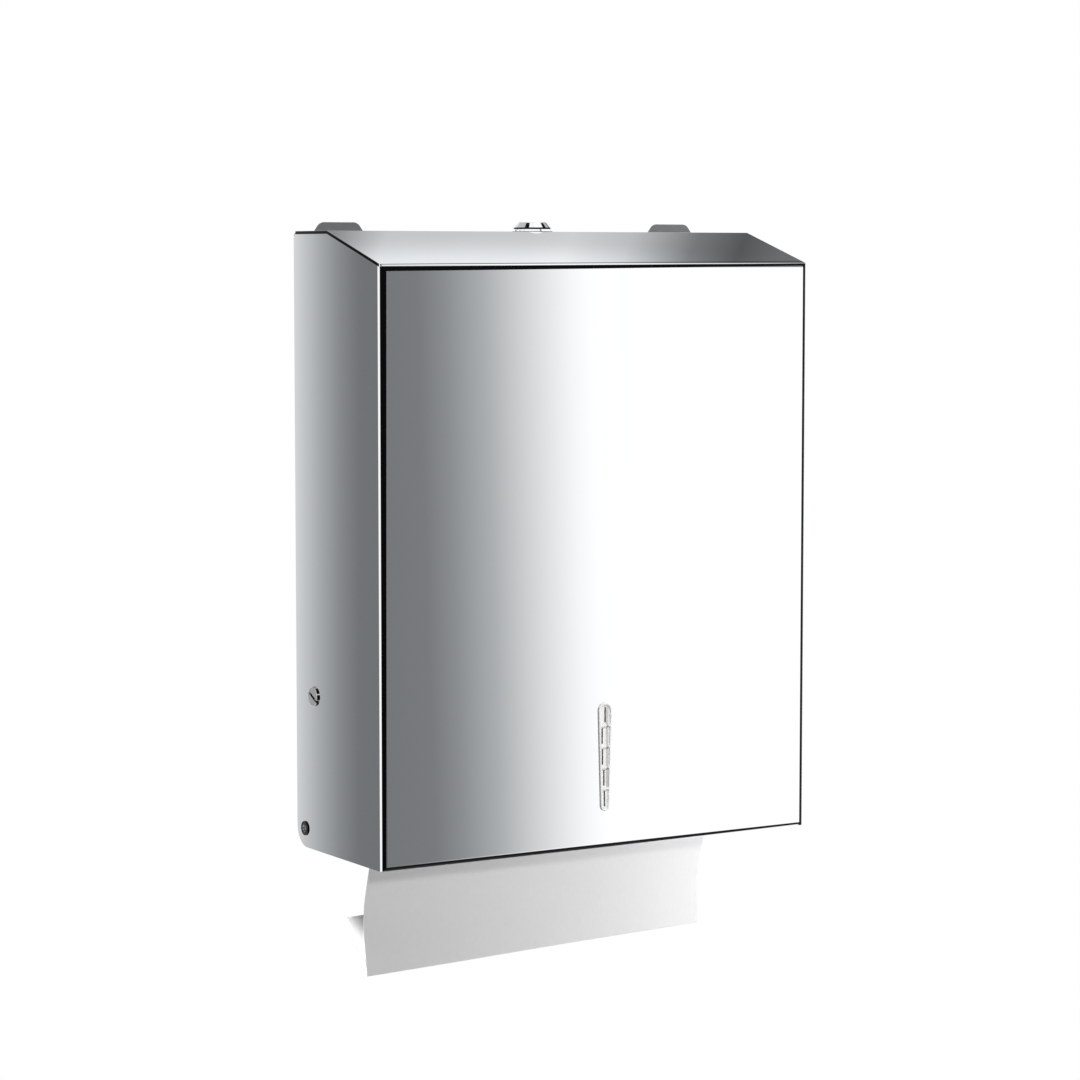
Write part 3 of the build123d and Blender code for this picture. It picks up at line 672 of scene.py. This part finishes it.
class Bench:
    """Modelling by hand: each call works on what is selected, in the part's frame."""

    @staticmethod
    def clear() -> None:
        """Leaves edit mode and selects nothing."""
        if bpy.context.object and bpy.context.object.mode != "OBJECT":
            bpy.ops.object.mode_set(mode="OBJECT")
        bpy.ops.object.select_all(action="DESELECT")

    @classmethod
    def take(cls, piece: bpy.types.Object) -> None:
        """Makes one object the only one selected, and the active one."""
        cls.clear()
        piece.select_set(True)
        bpy.context.view_layer.objects.active = piece

    @classmethod
    def strip(cls, name: str, half_width: float, path: Sequence[Point]) -> bpy.types.Object:
        """Extrudes a straight edge along X through a path.

        Args:
            name: the new object's name.
            half_width: half of the edge's length, each side of X = 0.
            path: (Y, Z) points that the edge passes through.

        Returns:
            The open strip, with its place in its mesh.
        """
        cls.clear()
        bpy.ops.mesh.primitive_plane_add(size=2.0 * half_width)
        piece = bpy.context.object
        piece.name = name
        bpy.ops.object.mode_set(mode="EDIT")
        bpy.ops.mesh.select_mode(type="VERT")
        bpy.ops.mesh.select_all(action="DESELECT")
        cls.select_points(piece, lambda co: co.y > 0.0)
        bpy.ops.mesh.delete(type="VERT")
        bpy.ops.mesh.select_all(action="SELECT")
        bpy.ops.transform.translate(value=(0.0, half_width + path[0][0], path[0][1]))
        for (y0, z0), (y1, z1) in zip(path, path[1:]):
            move = {"value": (0.0, y1 - y0, z1 - z0)}
            bpy.ops.mesh.extrude_region_move(TRANSFORM_OT_translate=move)
        bpy.ops.object.mode_set(mode="OBJECT")
        return piece

    @staticmethod
    def select_points(piece: bpy.types.Object, wanted: Callable[[Vector], bool]) -> None:
        """Selects vertices, from edit mode back to edit mode.

        Args:
            piece: the object.
            wanted: a test of a vertex's place.
        """
        bpy.ops.object.mode_set(mode="OBJECT")
        for vertex in piece.data.vertices:
            vertex.select = wanted(vertex.co)
        bpy.ops.object.mode_set(mode="EDIT")

    @classmethod
    def divide(cls, piece: bpy.types.Object, places: Sequence[float]) -> None:
        """Cuts a piece's faces and keeps both sides.

        Args:
            piece: the object.
            places: X of each cut.
        """
        cls.take(piece)
        bpy.ops.object.mode_set(mode="EDIT")
        for place in places:
            bpy.ops.mesh.select_all(action="SELECT")
            bpy.ops.mesh.bisect(plane_co=(place, 0.0, 0.0), plane_no=(1.0, 0.0, 0.0))
        bpy.ops.object.mode_set(mode="OBJECT")

    @classmethod
    def thicken(cls, piece: bpy.types.Object, thickness: float) -> None:
        """Gives an open sheet its thickness.

        Args:
            piece: the sheet.
            thickness: its thickness, half to each side.
        """
        cls.take(piece)
        shell = piece.modifiers.new("thickness", "SOLIDIFY")
        shell.thickness = thickness
        shell.offset = 0.0
        bpy.ops.object.modifier_apply(modifier=shell.name)

    @classmethod
    def soften(cls, piece: bpy.types.Object, angle: float) -> None:
        """Shades a piece smooth, apart from edges sharper than an angle in degrees."""
        cls.take(piece)
        bpy.ops.object.shade_smooth_by_angle(angle=math.radians(angle))

    @classmethod
    def join(cls, pieces: Sequence[bpy.types.Object], name: str) -> bpy.types.Object:
        """Joins several objects into the first.

        Args:
            pieces: the objects.
            name: the new name of the first.

        Returns:
            The first object, with all meshes in it.
        """
        cls.take(pieces[0])
        for piece in pieces[1:]:
            piece.select_set(True)
        bpy.ops.object.join()
        pieces[0].name = name
        return pieces[0]


def between(start: float, end: float, count: int) -> list[float]:
    """Evenly spaced values strictly between two ends."""
    return [start + (end - start) * (i + 1) / (count + 1) for i in range(count)]


def arc(centre: Point, radius: float, start: float, end: float, steps: int) -> list[Point]:
    """Points on an arc in (Y, Z).

    Args:
        centre: (Y, Z) of its centre.
        radius: its radius.
        start: angle of its first point in radians, from +Y towards +Z.
        end: angle of its last point.
        steps: number of chords.

    Returns:
        The points, both ends included.
    """
    angles = [start + (end - start) * i / steps for i in range(steps + 1)]
    return [(centre[0] + radius * math.cos(a), centre[1] + radius * math.sin(a)) for a in angles]


def rounded(points: Sequence[Point], radii: Sequence[float], steps: int, chords: int) -> list[Point]:
    """Rounds the inner corners of a line in (Y, Z), and divides its straight runs.

    Args:
        points: the line's corners, ends included.
        radii: one radius for each inner corner.
        steps: number of chords on each round.
        chords: number of chords on each straight run.

    Returns:
        The points of the rounded line.
    """
    line = [points[0]]
    for before, corner, after, radius in zip(points, points[1:], points[2:], radii):
        back = (Vector(before) - Vector(corner)).normalized()
        ahead = (Vector(after) - Vector(corner)).normalized()
        half = back.angle(ahead) / 2
        centre = Vector(corner) + (back + ahead).normalized() * radius / math.sin(half)
        first = Vector(corner) + back * radius / math.tan(half) - centre
        last = Vector(corner) + ahead * radius / math.tan(half) - centre
        turn = math.atan2(first.x * last.y - first.y * last.x, first.dot(last))
        start = math.atan2(first.y, first.x)
        bend = arc(tuple(centre), radius, start, start + turn, steps)
        line += divided(line[-1], bend[0], chords) + bend
    return line + divided(line[-1], points[-1], chords) + [points[-1]]


def divided(start: Point, end: Point, chords: int) -> list[Point]:
    """Points that divide a straight run in (Y, Z), without its ends."""
    return list(zip(between(start[0], end[0], chords - 1), between(start[1], end[1], chords - 1)))


@dataclass
class TowelSupply:
    """The folded towels on the tray, and the one that hangs out of the slot.

    Each noise is its turns per metre on two axes, and its place on the third. Creases are angles in
    degrees, and insets and drops are from the wall and from the cover's bottom.
    """

    paper: float = 0.32 * MM
    panel_pitch: float = 0.75 * MM
    panels: int = 3
    fold_steps: int = 4
    bulge: float = 1.5 * MM
    shift: float = 0.7 * MM
    free_edge: float = 5.0 * MM
    stations: int = 9
    sway: float = 0.25 * MM
    sway_noise: Triple = (14.0, 20.0, 0.3)
    stack_crease: float = 50.0
    slot_roll: float = 3.0 * MM
    leaf_inset: float = 46.5 * MM
    belly_inset: float = 27.7 * MM
    belly_drop: float = 38.0 * MM
    belly_round: float = 60.0 * MM
    hem_inset: float = 31.0 * MM
    hem_drop: float = 69.9 * MM
    twist: float = 4.2 * MM
    tilt: float = 2.6 * MM
    fold_round: float = 0.45 * MM
    flap_run: float = 23.0 * MM
    flap_rise: float = 30.5 * MM
    ripple: float = 0.5 * MM
    ripple_noise: Triple = (11.0, 9.0, 1.7)
    wave_share: float = 0.6
    wave_turn: float = 31.0
    wave_start: float = 0.8
    leaf_crease: float = 60.0
    leaf_cuts: int = 47
    bend_steps: int = 8
    run_chords: int = 10
    feed: float = 45.0 * MM
    stiff_share: float = 0.4
    seed: int = 7

    def folded_path(self, front: float, rear: float, foot: float) -> list[Point]:
        """Section of one folded towel.

        Args:
            front: Y of its front folds.
            rear: Y of its rear folds.
            foot: Z of its lowest panel's middle.

        Returns:
            (Y, Z) points along the panels, round each fold.
        """
        radius = self.panel_pitch / 2
        path = [(rear - self.free_edge, foot)]
        for i in range(self.panels - 1):
            middle = foot + (i + 0.5) * self.panel_pitch
            at_front = i % 2 == 0
            centre = (front + radius if at_front else rear - radius, middle)
            end = -1.5 * math.pi if at_front else 0.5 * math.pi
            path += arc(centre, radius, -0.5 * math.pi, end, self.fold_steps)
        return path + [(front + self.free_edge, foot + (self.panels - 1) * self.panel_pitch)]

    def build_stack(self) -> bpy.types.Object:
        """Stacks folded towels, each a little out of line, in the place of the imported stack.

        Returns:
            The stack as one object.
        """
        low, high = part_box("towel_stack")
        draw = random.Random(self.seed)
        half_width = high.x - self.shift
        towel = self.panels * self.panel_pitch
        count = int((high.z - low.z) / towel)
        first = Bench.strip("folded_towel", half_width, self.folded_path(low.y, high.y, 0.0))
        Bench.divide(first, between(-half_width, half_width, self.stations))
        Bench.thicken(first, self.paper)
        middle = (high.y + low.y) / 2
        centred = Matrix.Translation((0.0, -middle, 0.0))
        turns_x, turns_y, level = self.sway_noise
        folded = []
        for i in range(count):
            height = (i + 0.5) / count
            swell = self.bulge * (4.0 * height * (1.0 - height) - 1.0)
            copy = first.copy()
            copy.data = first.data.copy()
            bpy.context.collection.objects.link(copy)
            depth = (high.y - low.y + 2.0 * swell) / (high.y - low.y)
            slide = draw.uniform(-self.shift, self.shift)
            push = draw.uniform(-0.5, 0.5) * self.shift
            place = Matrix.Translation((slide, middle + push, low.z + i * towel + self.panel_pitch / 2))
            copy.data.transform(place @ Matrix.Diagonal((1.0, depth, 1.0, 1.0)) @ centred)
            for vertex in copy.data.vertices:
                wave = noise.noise((vertex.co.x * turns_x, vertex.co.y * turns_y, level))
                vertex.co.z += self.sway * wave * height
            folded.append(copy)
        bpy.data.objects.remove(first)
        stack = Bench.join(folded, "folded_towel_stack")
        Bench.soften(stack, self.stack_crease)
        return stack

    def leaf_path(self, side: float) -> list[Point]:
        """Section of the hanging towel.

        Args:
            side: place across its width, from -1 at the left edge to 1 at the right one.

        Returns:
            (Y, Z) points down the leaf, round its fold and up the flap behind it.
        """
        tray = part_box("towel_tray")[0].z + self.slot_roll
        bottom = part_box("cover_shell")[0].z
        hem = (side * self.twist - self.hem_inset, bottom - self.hem_drop + side * self.tilt)
        belly = (side * self.twist / 2 - self.belly_inset, bottom - self.belly_drop + side * self.tilt / 2)
        flap = (hem[0] + self.flap_run, hem[1] + self.flap_rise)
        corners = [(-self.leaf_inset, tray), belly, hem, flap]
        return rounded(corners, [self.belly_round, self.fold_round], self.bend_steps, self.run_chords)

    def build_leaf(self) -> bpy.types.Object:
        """Hangs one towel out of the slot, twisted a little and softly rippled.

        Returns:
            The towel.
        """
        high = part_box("leading_towel")[1]
        turns_x, turns_z, level = self.ripple_noise
        middle, left, right = (self.leaf_path(side) for side in (0.0, -1.0, 1.0))
        leaf = Bench.strip("leading_paper", high.x, middle)
        Bench.divide(leaf, between(-high.x, high.x, self.leaf_cuts))
        for vertex in leaf.data.vertices:
            row = min(range(len(middle)), key=lambda i: math.dist(middle[i], vertex.co.yz))
            share = (vertex.co.x / high.x + 1.0) / 2.0
            vertex.co.y = left[row][0] + (right[row][0] - left[row][0]) * share
            vertex.co.z = left[row][1] + (right[row][1] - left[row][1]) * share
            free = min(1.0, max(0.0, (high.z - vertex.co.z) / self.feed - self.stiff_share))
            wave = noise.noise((vertex.co.x * turns_x, vertex.co.z * turns_z, level))
            wave += self.wave_share * math.sin(vertex.co.x * self.wave_turn + self.wave_start)
            vertex.co.y += self.ripple * free * wave
        Bench.thicken(leaf, self.paper)
        Bench.soften(leaf, self.leaf_crease)
        return leaf

    def dress(self, paper: bpy.types.Material) -> list[bpy.types.Object]:
        """Builds the towels, gives them their paper and attaches the stack to the chassis.

        Args:
            paper: the material of all towels.

        Returns:
            The new pieces.
        """
        stack = self.build_stack()
        leaf = self.build_leaf()
        for piece, node in ((stack, "towel_stack"), (leaf, "leading_towel")):
            piece.data.materials.clear()
            piece.data.materials.append(paper)
            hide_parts(node)
        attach(stack, Body.CHASSIS.value)
        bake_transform(leaf)
        line = [Vector(p) for p in self.leaf_path(0.0)]
        return [stack, leaf]


@dataclass(frozen=True)
class TentBand:
    """Light on one part of the tent.

    Attributes:
        stops: (bearing in degrees from the front, light level) pairs.
        rise: the heights between which it takes over from what is listed before it.
        window: the bearings that it fills.
        lean: degrees that its light turns per metre of height.
    """

    stops: tuple[Point, ...]
    rise: Point = (-3.0, -2.0)
    window: Point = (-180.0, 180.0)
    lean: float = 0.0

    def tones(self) -> list[tuple[float, Colour]]:
        """Ramp stops over the window, a little cool where they are dim.

        Returns:
            (place, colour) pairs from 0 to 1.
        """
        cool = (0.955, 1.0, 1.03)
        start, end = self.window
        made = []
        for bearing, level in self.stops:
            tint = max(0.0, 1.0 - level)
            colour = tuple(level * (1.0 + tint * (c - 1.0)) for c in cool)
            made.append(((bearing - start) / (end - start), colour))
        return made

    def light(self, graph: Graph, bearing: Field, z: Field, below: Any) -> Field:
        """Adds this part to the light of the parts before it.

        Args:
            graph: the tent's graph.
            bearing: degrees round from the front.
            z: height.
            below: the light so far.

        Returns:
            The light with this part over it.
        """
        start, end = self.window
        turned = bearing + self.lean * z
        place = (turned - start) * (1.0 / (end - start))
        tone = graph.node("ShaderNodeValToRGB", {"stops": self.tones()}, {"Fac": place}, "Color")
        share = graph.step(z, *self.rise) * graph.band(turned, start - 0.02, end + 0.02, 0.02)
        return graph.mix(share, below, tone)


@dataclass(frozen=True)
class Lamp:
    """A soft square lamp that polished metal doesn't show.

    Attributes:
        target: the point that it faces.
        size: the length of its sides.
        power: its power in watts.
        spread: its beam's angle in degrees.
    """

    name: str
    place: Triple
    target: Triple
    size: float
    power: float
    spread: float = 180.0

    def build(self) -> bpy.types.Object:
        """Hangs the lamp in the scene.

        Returns:
            The lamp's object.
        """
        lamp = bpy.data.lights.new(self.name, "AREA")
        lamp.size = self.size
        lamp.energy = self.power
        lamp.spread = math.radians(self.spread)
        holder = bpy.data.objects.new(self.name, lamp)
        bpy.context.collection.objects.link(holder)
        holder.location = self.place
        beam = Vector(self.target) - Vector(self.place)
        holder.rotation_euler = beam.to_track_quat("-Z", "Y").to_euler()
        holder.visible_glossy = False
        holder.visible_camera = False
        return holder


LAMPS = (
    Lamp("front_lamp", (0.1, -1.4, 0.23), target=(0.0, -0.04, -0.2), size=0.06, power=3.4),
    Lamp("high_lamp", (0.1, -0.75, 0.95), target=(0.0, -0.1, -0.12), size=0.3, power=12.0),
    Lamp("right_lamp", (0.2, -0.185, -0.215), target=(0.05, -0.035, -0.21), size=0.12, power=0.255),
    Lamp("left_lamp", (-0.296, 0.02, 0.077), (-0.112, -0.02, -0.225), size=0.045, power=0.06, spread=28.0),
    Lamp("rear_lamp", (-0.6, 1.3, 0.6), target=(0.0, 0.0, 0.0), size=1.0, power=7.0),
)


@dataclass
class Studio:
    """Floor, light tent, lamps, sky and camera round the dispenser.

    The slope's values place the brighter patch of the tent that the sloping panel shows. Its bearings
    and its heights are a low end, a high end and the softness of both.
    """

    floor_drop: float = 1.0
    floor_radius: float = 14.0
    floor_sides: int = 64
    floor_fade: Point = (0.5, 2.0)
    floor_colour: Colour = (0.86, 0.86, 0.86)
    tent_radius: float = 0.9
    tent_sides: int = 96
    tent_spring: float = 0.45
    tent_rings: int = 10
    lens: float = 107.742
    sensor: float = 36.0
    eye: Triple = (-0.94548, -1.59187, 0.15409)
    aim: Triple = (0.51702, 0.85162, -0.08624)
    sky: float = 0.28
    slope_lean: float = 0.0048
    slope_bearing: float = 139.4
    slope_boost: float = 0.55
    slope_edge: Point = (0.633, 0.665)
    slope_bearings: Triple = (122.0, 160.0, 4.0)
    slope_heights: Triple = (0.53, 0.79, 0.05)

    @staticmethod
    def ray_masks(graph: Graph) -> tuple[Field, Field]:
        """Masks of the rays that show a backdrop.

        Args:
            graph: the backdrop's graph.

        Returns:
            The camera's own rays, and those that metal and clear plastic send on.
        """
        camera = graph.node("ShaderNodeLightPath", output="Is Camera Ray")
        outputs = camera.socket.node.outputs
        return camera, Field(graph, outputs["Is Glossy Ray"]) | Field(graph, outputs["Is Transmission Ray"])

    def build_sky(self) -> None:
        """A sky that looks white and lights the object evenly."""
        world = bpy.data.worlds.new("studio_sky")
        bpy.context.scene.world = world
        world.use_nodes = True
        graph = Graph(world.node_tree)
        camera, sent_on = self.ray_masks(graph)
        strength = self.sky + (1.0 - self.sky) * (camera | sent_on)
        sockets = {"Color": (1.0, 1.0, 1.0), "Strength": strength}
        glow = graph.node("ShaderNodeBackground", None, sockets)
        graph.node("ShaderNodeOutputWorld", None, {"Surface": glow}, None)

    def build_floor(self, level: float) -> bpy.types.Object:
        """A pale floor that runs out into the white of the sky.

        Args:
            level: its height.

        Returns:
            The floor.
        """
        Bench.clear()
        bpy.ops.mesh.primitive_circle_add(
            vertices=self.floor_sides,
            radius=self.floor_radius,
            fill_type="NGON",
            location=(0.0, 0.0, level),
        )
        floor = bpy.context.object
        floor.name = "studio_floor"
        bpy.ops.object.transform_apply(location=True)
        made = bpy.data.materials.new("pale_floor")
        made.use_nodes = True
        graph = Graph(made.node_tree)
        x, y, _ = graph.axes()
        radius = graph.math("SQRT", x * x + y * y)
        matt = {"Base Color": self.floor_colour, "Roughness": 0.9}
        plain = graph.node("ShaderNodeBsdfPrincipled", None, matt)
        white = graph.node("ShaderNodeEmission", None, {"Color": (1.0, 1.0, 1.0), "Strength": 1.0})
        camera, sent_on = self.ray_masks(graph)
        share = sent_on | camera * graph.step(radius, *self.floor_fade)
        mixed = graph.node("ShaderNodeMixShader", None, {0: share, 1: plain, 2: white})
        graph.node("ShaderNodeOutputMaterial", None, {"Surface": mixed}, None)
        floor.data.materials.append(made)
        return floor

    def build_tent(self, level: float) -> bpy.types.Object:
        """A light tent that only polished metal sees: a round wall with a vault on it.

        Args:
            level: height of the wall's foot.

        Returns:
            The tent.
        """
        Bench.clear()
        bpy.ops.mesh.primitive_circle_add(
            vertices=self.tent_sides,
            radius=self.tent_radius,
            fill_type="NOTHING",
            location=(0.0, 0.0, level),
        )
        tent = bpy.context.object
        tent.name = "studio_tent"
        bpy.ops.object.transform_apply(location=True)
        bpy.ops.object.mode_set(mode="EDIT")
        bpy.ops.mesh.select_all(action="SELECT")
        lift = {"value": (0.0, 0.0, self.tent_spring - level)}
        bpy.ops.mesh.extrude_edges_move(TRANSFORM_OT_translate=lift)
        for i in range(self.tent_rings):
            start = 0.5 * math.pi * i / self.tent_rings
            end = 0.5 * math.pi * (i + 1) / self.tent_rings
            rise = self.tent_radius * (math.sin(end) - math.sin(start))
            narrow = max(0.001, math.cos(end)) / math.cos(start)
            bpy.ops.mesh.extrude_edges_move(TRANSFORM_OT_translate={"value": (0.0, 0.0, rise)})
            bpy.ops.transform.resize(value=(narrow, narrow, 1.0))
        bpy.ops.mesh.merge(type="CENTER")
        bpy.ops.object.mode_set(mode="OBJECT")
        tent.data.materials.append(self.tent_light())
        for ray in ("camera", "diffuse", "transmission", "volume_scatter", "shadow"):
            setattr(tent, "visible_" + ray, False)
        return tent

    def tent_light(self) -> bpy.types.Material:
        """Light of the tent: white behind the dispenser, dim towards the viewer's side.

        Returns:
            The tent's material.
        """
        made = bpy.data.materials.new("tent_light")
        made.use_nodes = True
        made.cycles.emission_sampling = "NONE"
        graph = Graph(made.node_tree)
        x, y, z = graph.axes()
        bearing = graph.math("ARCTAN2", x, -y) * (180.0 / math.pi)
        colour = (1.0, 1.0, 1.0)
        for band in self.tent_bands():
            colour = band.light(graph, bearing, z, colour)
        settings = {"operation": "SCALE"}
        sockets = {0: colour, "Scale": self.slope_gain(graph, bearing, z)}
        colour = graph.node("ShaderNodeVectorMath", settings, sockets)
        glow = graph.node("ShaderNodeEmission", None, {"Color": colour, "Strength": 1.0})
        graph.node("ShaderNodeOutputMaterial", None, {"Surface": glow}, None)
        return made

    def slope_gain(self, graph: Graph, bearing: Field, z: Field) -> Field:
        """Brightens the part of the vault that the sloping panel shows, towards the panel's front edge.

        Args:
            graph: the tent's graph.
            bearing: degrees round from the front.
            z: height.

        Returns:
            The factor on the tent's light, 1 elsewhere.
        """
        lean = z - self.slope_lean * (bearing - self.slope_bearing)
        rise = self.slope_boost * graph.step(lean, *self.slope_edge)
        patch = graph.band(bearing, *self.slope_bearings) * graph.band(z, *self.slope_heights)
        return 1.0 + rise * patch

    @staticmethod
    def tent_bands() -> list[TentBand]:
        """Parts of the tent, from the wall up to the cap, each with a few stops of light.

        Returns:
            The parts, each over those before it.
        """
        wall = (
            (-180.0, 1.05), (-147.0, 1.05), (-138.0, 0.18), (-128.0, 1.05), (-82.0, 1.05), (-70.0, 0.12),
            (-45.0, 0.30), (-20.0, 0.14), (0.0, 0.12), (17.0, 0.20), (30.0, 1.12), (180.0, 1.12),
        )
        side = (
            (-147.0, 1.05), (-145.4, 0.77), (-144.7, 0.59), (-143.9, 0.425), (-142.9, 0.27),
            (-141.9, 0.185), (-138.0, 0.18),
        )
        front = (
            (17.0, 0.20), (19.8, 0.215), (21.2, 0.295), (23.2, 0.465), (27.6, 1.02), (28.6, 1.10),
            (30.0, 1.12),
        )
        belt = ((-76.0, 1.05), (15.0, 1.05))
        vault = (
            (-180.0, 0.9), (-165.0, 0.55), (-120.0, 0.6), (-60.0, 0.35), (0.0, 0.12), (60.0, 0.3),
            (85.0, 0.5), (105.0, 0.55), (118.0, 0.3), (127.0, 0.17), (160.0, 0.5), (180.0, 0.9),
        )
        slope = (
            (127.0, 0.17), (129.5, 0.16), (131.8, 0.10), (134.3, 0.20), (137.8, 0.54), (141.0, 0.66),
            (143.5, 0.62), (151.2, 0.60), (154.0, 0.29), (156.0, 0.25), (160.0, 0.5),
        )
        haunch = (
            (-180.0, 0.6), (-112.0, 0.55), (-60.0, 0.4), (0.0, 0.3), (54.0, 0.5), (59.0, 0.006),
            (93.0, 0.006), (99.0, 0.9), (180.0, 1.1),
        )
        crown = (
            (-180.0, 0.6), (-119.0, 0.55), (-115.0, 0.006), (-76.0, 0.006), (-72.0, 1.1), (160.0, 1.1),
            (180.0, 0.6),
        )
        cap = ((-180.0, 0.88), (180.0, 0.88))
        return [
            TentBand(wall),
            TentBand(side, window=(-147.0, -138.0), lean=-0.4),
            TentBand(front, window=(17.0, 30.0), lean=2.0),
            TentBand(belt, rise=(0.15, 0.165), window=(-76.0, 15.0)),
            TentBand(vault, rise=(0.30, 0.50)),
            TentBand(slope, rise=(0.30, 0.50), window=(127.0, 160.0)),
            TentBand(haunch, rise=(0.80, 0.88)),
            TentBand(crown, rise=(1.03, 1.08)),
            TentBand(cap, rise=(1.30, 1.32)),
        ]

    def build_camera(self) -> bpy.types.Object:
        """The camera, at the place and with the lens of the reference view.

        Returns:
            The camera's object.
        """
        camera = bpy.data.cameras.new("view")
        camera.lens = self.lens
        camera.sensor_width = self.sensor
        camera.sensor_fit = "AUTO"
        holder = bpy.data.objects.new("view", camera)
        bpy.context.collection.objects.link(holder)
        holder.location = self.eye
        holder.rotation_euler = Vector(self.aim).to_track_quat("-Z", "Y").to_euler()
        bpy.context.scene.camera = holder
        return holder

    def build(self) -> None:
        """Sets up the whole studio."""
        bpy.context.scene.view_settings.view_transform = "Standard"
        level = -self.floor_drop
        self.build_sky()
        self.build_floor(level)
        self.build_tent(level)
        for lamp in LAMPS:
            lamp.build()
        self.build_camera()


def finishes() -> dict[Slot, Finish]:
    """The finish of each material slot.

    Returns:
        One finish for each slot.
    """
    low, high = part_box("cover_shell")
    window_low, window_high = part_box("sight_window")
    window_middle = (window_low.x + window_high.x) / 2
    window_height = window_high.z - window_low.z
    bezel_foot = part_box("lock_gasket")[1].z
    pin_low, pin_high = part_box("hinge_pin_left")
    screw_low, screw_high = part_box("stop_screw_right")
    return {
        Slot.COVER: PolishedSheet("polished_sheet", high.x, low.y, low.z, high.z),
        Slot.CHASSIS: BrushedSheet("brushed_sheet"),
        Slot.RIVET: MachinedSteel("rivet_steel_bright", (0.72, 0.72, 0.73), 0.26),
        Slot.PIN: PinHead("pin_steel_dark", tuple(((pin_low + pin_high) / 2).yz)),
        Slot.SCREW: SlottedHead("screw_steel_bright", screw_high.x, (screw_low.z + screw_high.z) / 2),
        Slot.ZINC: MachinedSteel("zinc_plate", (0.66, 0.67, 0.70), 0.30),
        Slot.LOCK: LockChrome("lock_plate", bezel_foot + 1.2 * MM, bezel_foot + 2.1 * MM),
        Slot.WINDOW: WindowMoulding("window_moulding", window_middle, window_low.z, window_height),
        Slot.BUSH: Moulded("white_nylon", (0.84, 0.83, 0.78), 0.38),
        Slot.GASKET: Moulded("black_rubber", (0.022, 0.022, 0.023), 0.62),
        Slot.TOWEL: TowelPaper("towel_paper_white"),
    }


def dress_nodes(nodes: dict[str, bpy.types.Object]) -> dict[Slot, bpy.types.Material]:
    """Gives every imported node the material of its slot.

    Args:
        nodes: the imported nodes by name.

    Returns:
        The materials by slot.
    """
    made = {slot: finish.material() for slot, finish in finishes().items()}
    for name, node in nodes.items():
        for holder in node.material_slots:
            slot = Slot(holder.material.name.split(".")[0])
            holder.material = made[slot]
            log.info("%s: %s", name, made[slot].name)
    return made


def main() -> None:
    """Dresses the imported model, adds its soft pieces and sets up the studio."""
    logging.basicConfig(level=logging.INFO, format="%(name)s %(message)s")
    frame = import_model()
    materials = dress_nodes(frame["nodes"])
    for piece in TowelSupply().dress(materials[Slot.TOWEL]):
        log.info("%s: %d faces", piece.name, len(piece.data.polygons))
    Studio().build()


if __name__ == "__main__":
    main()
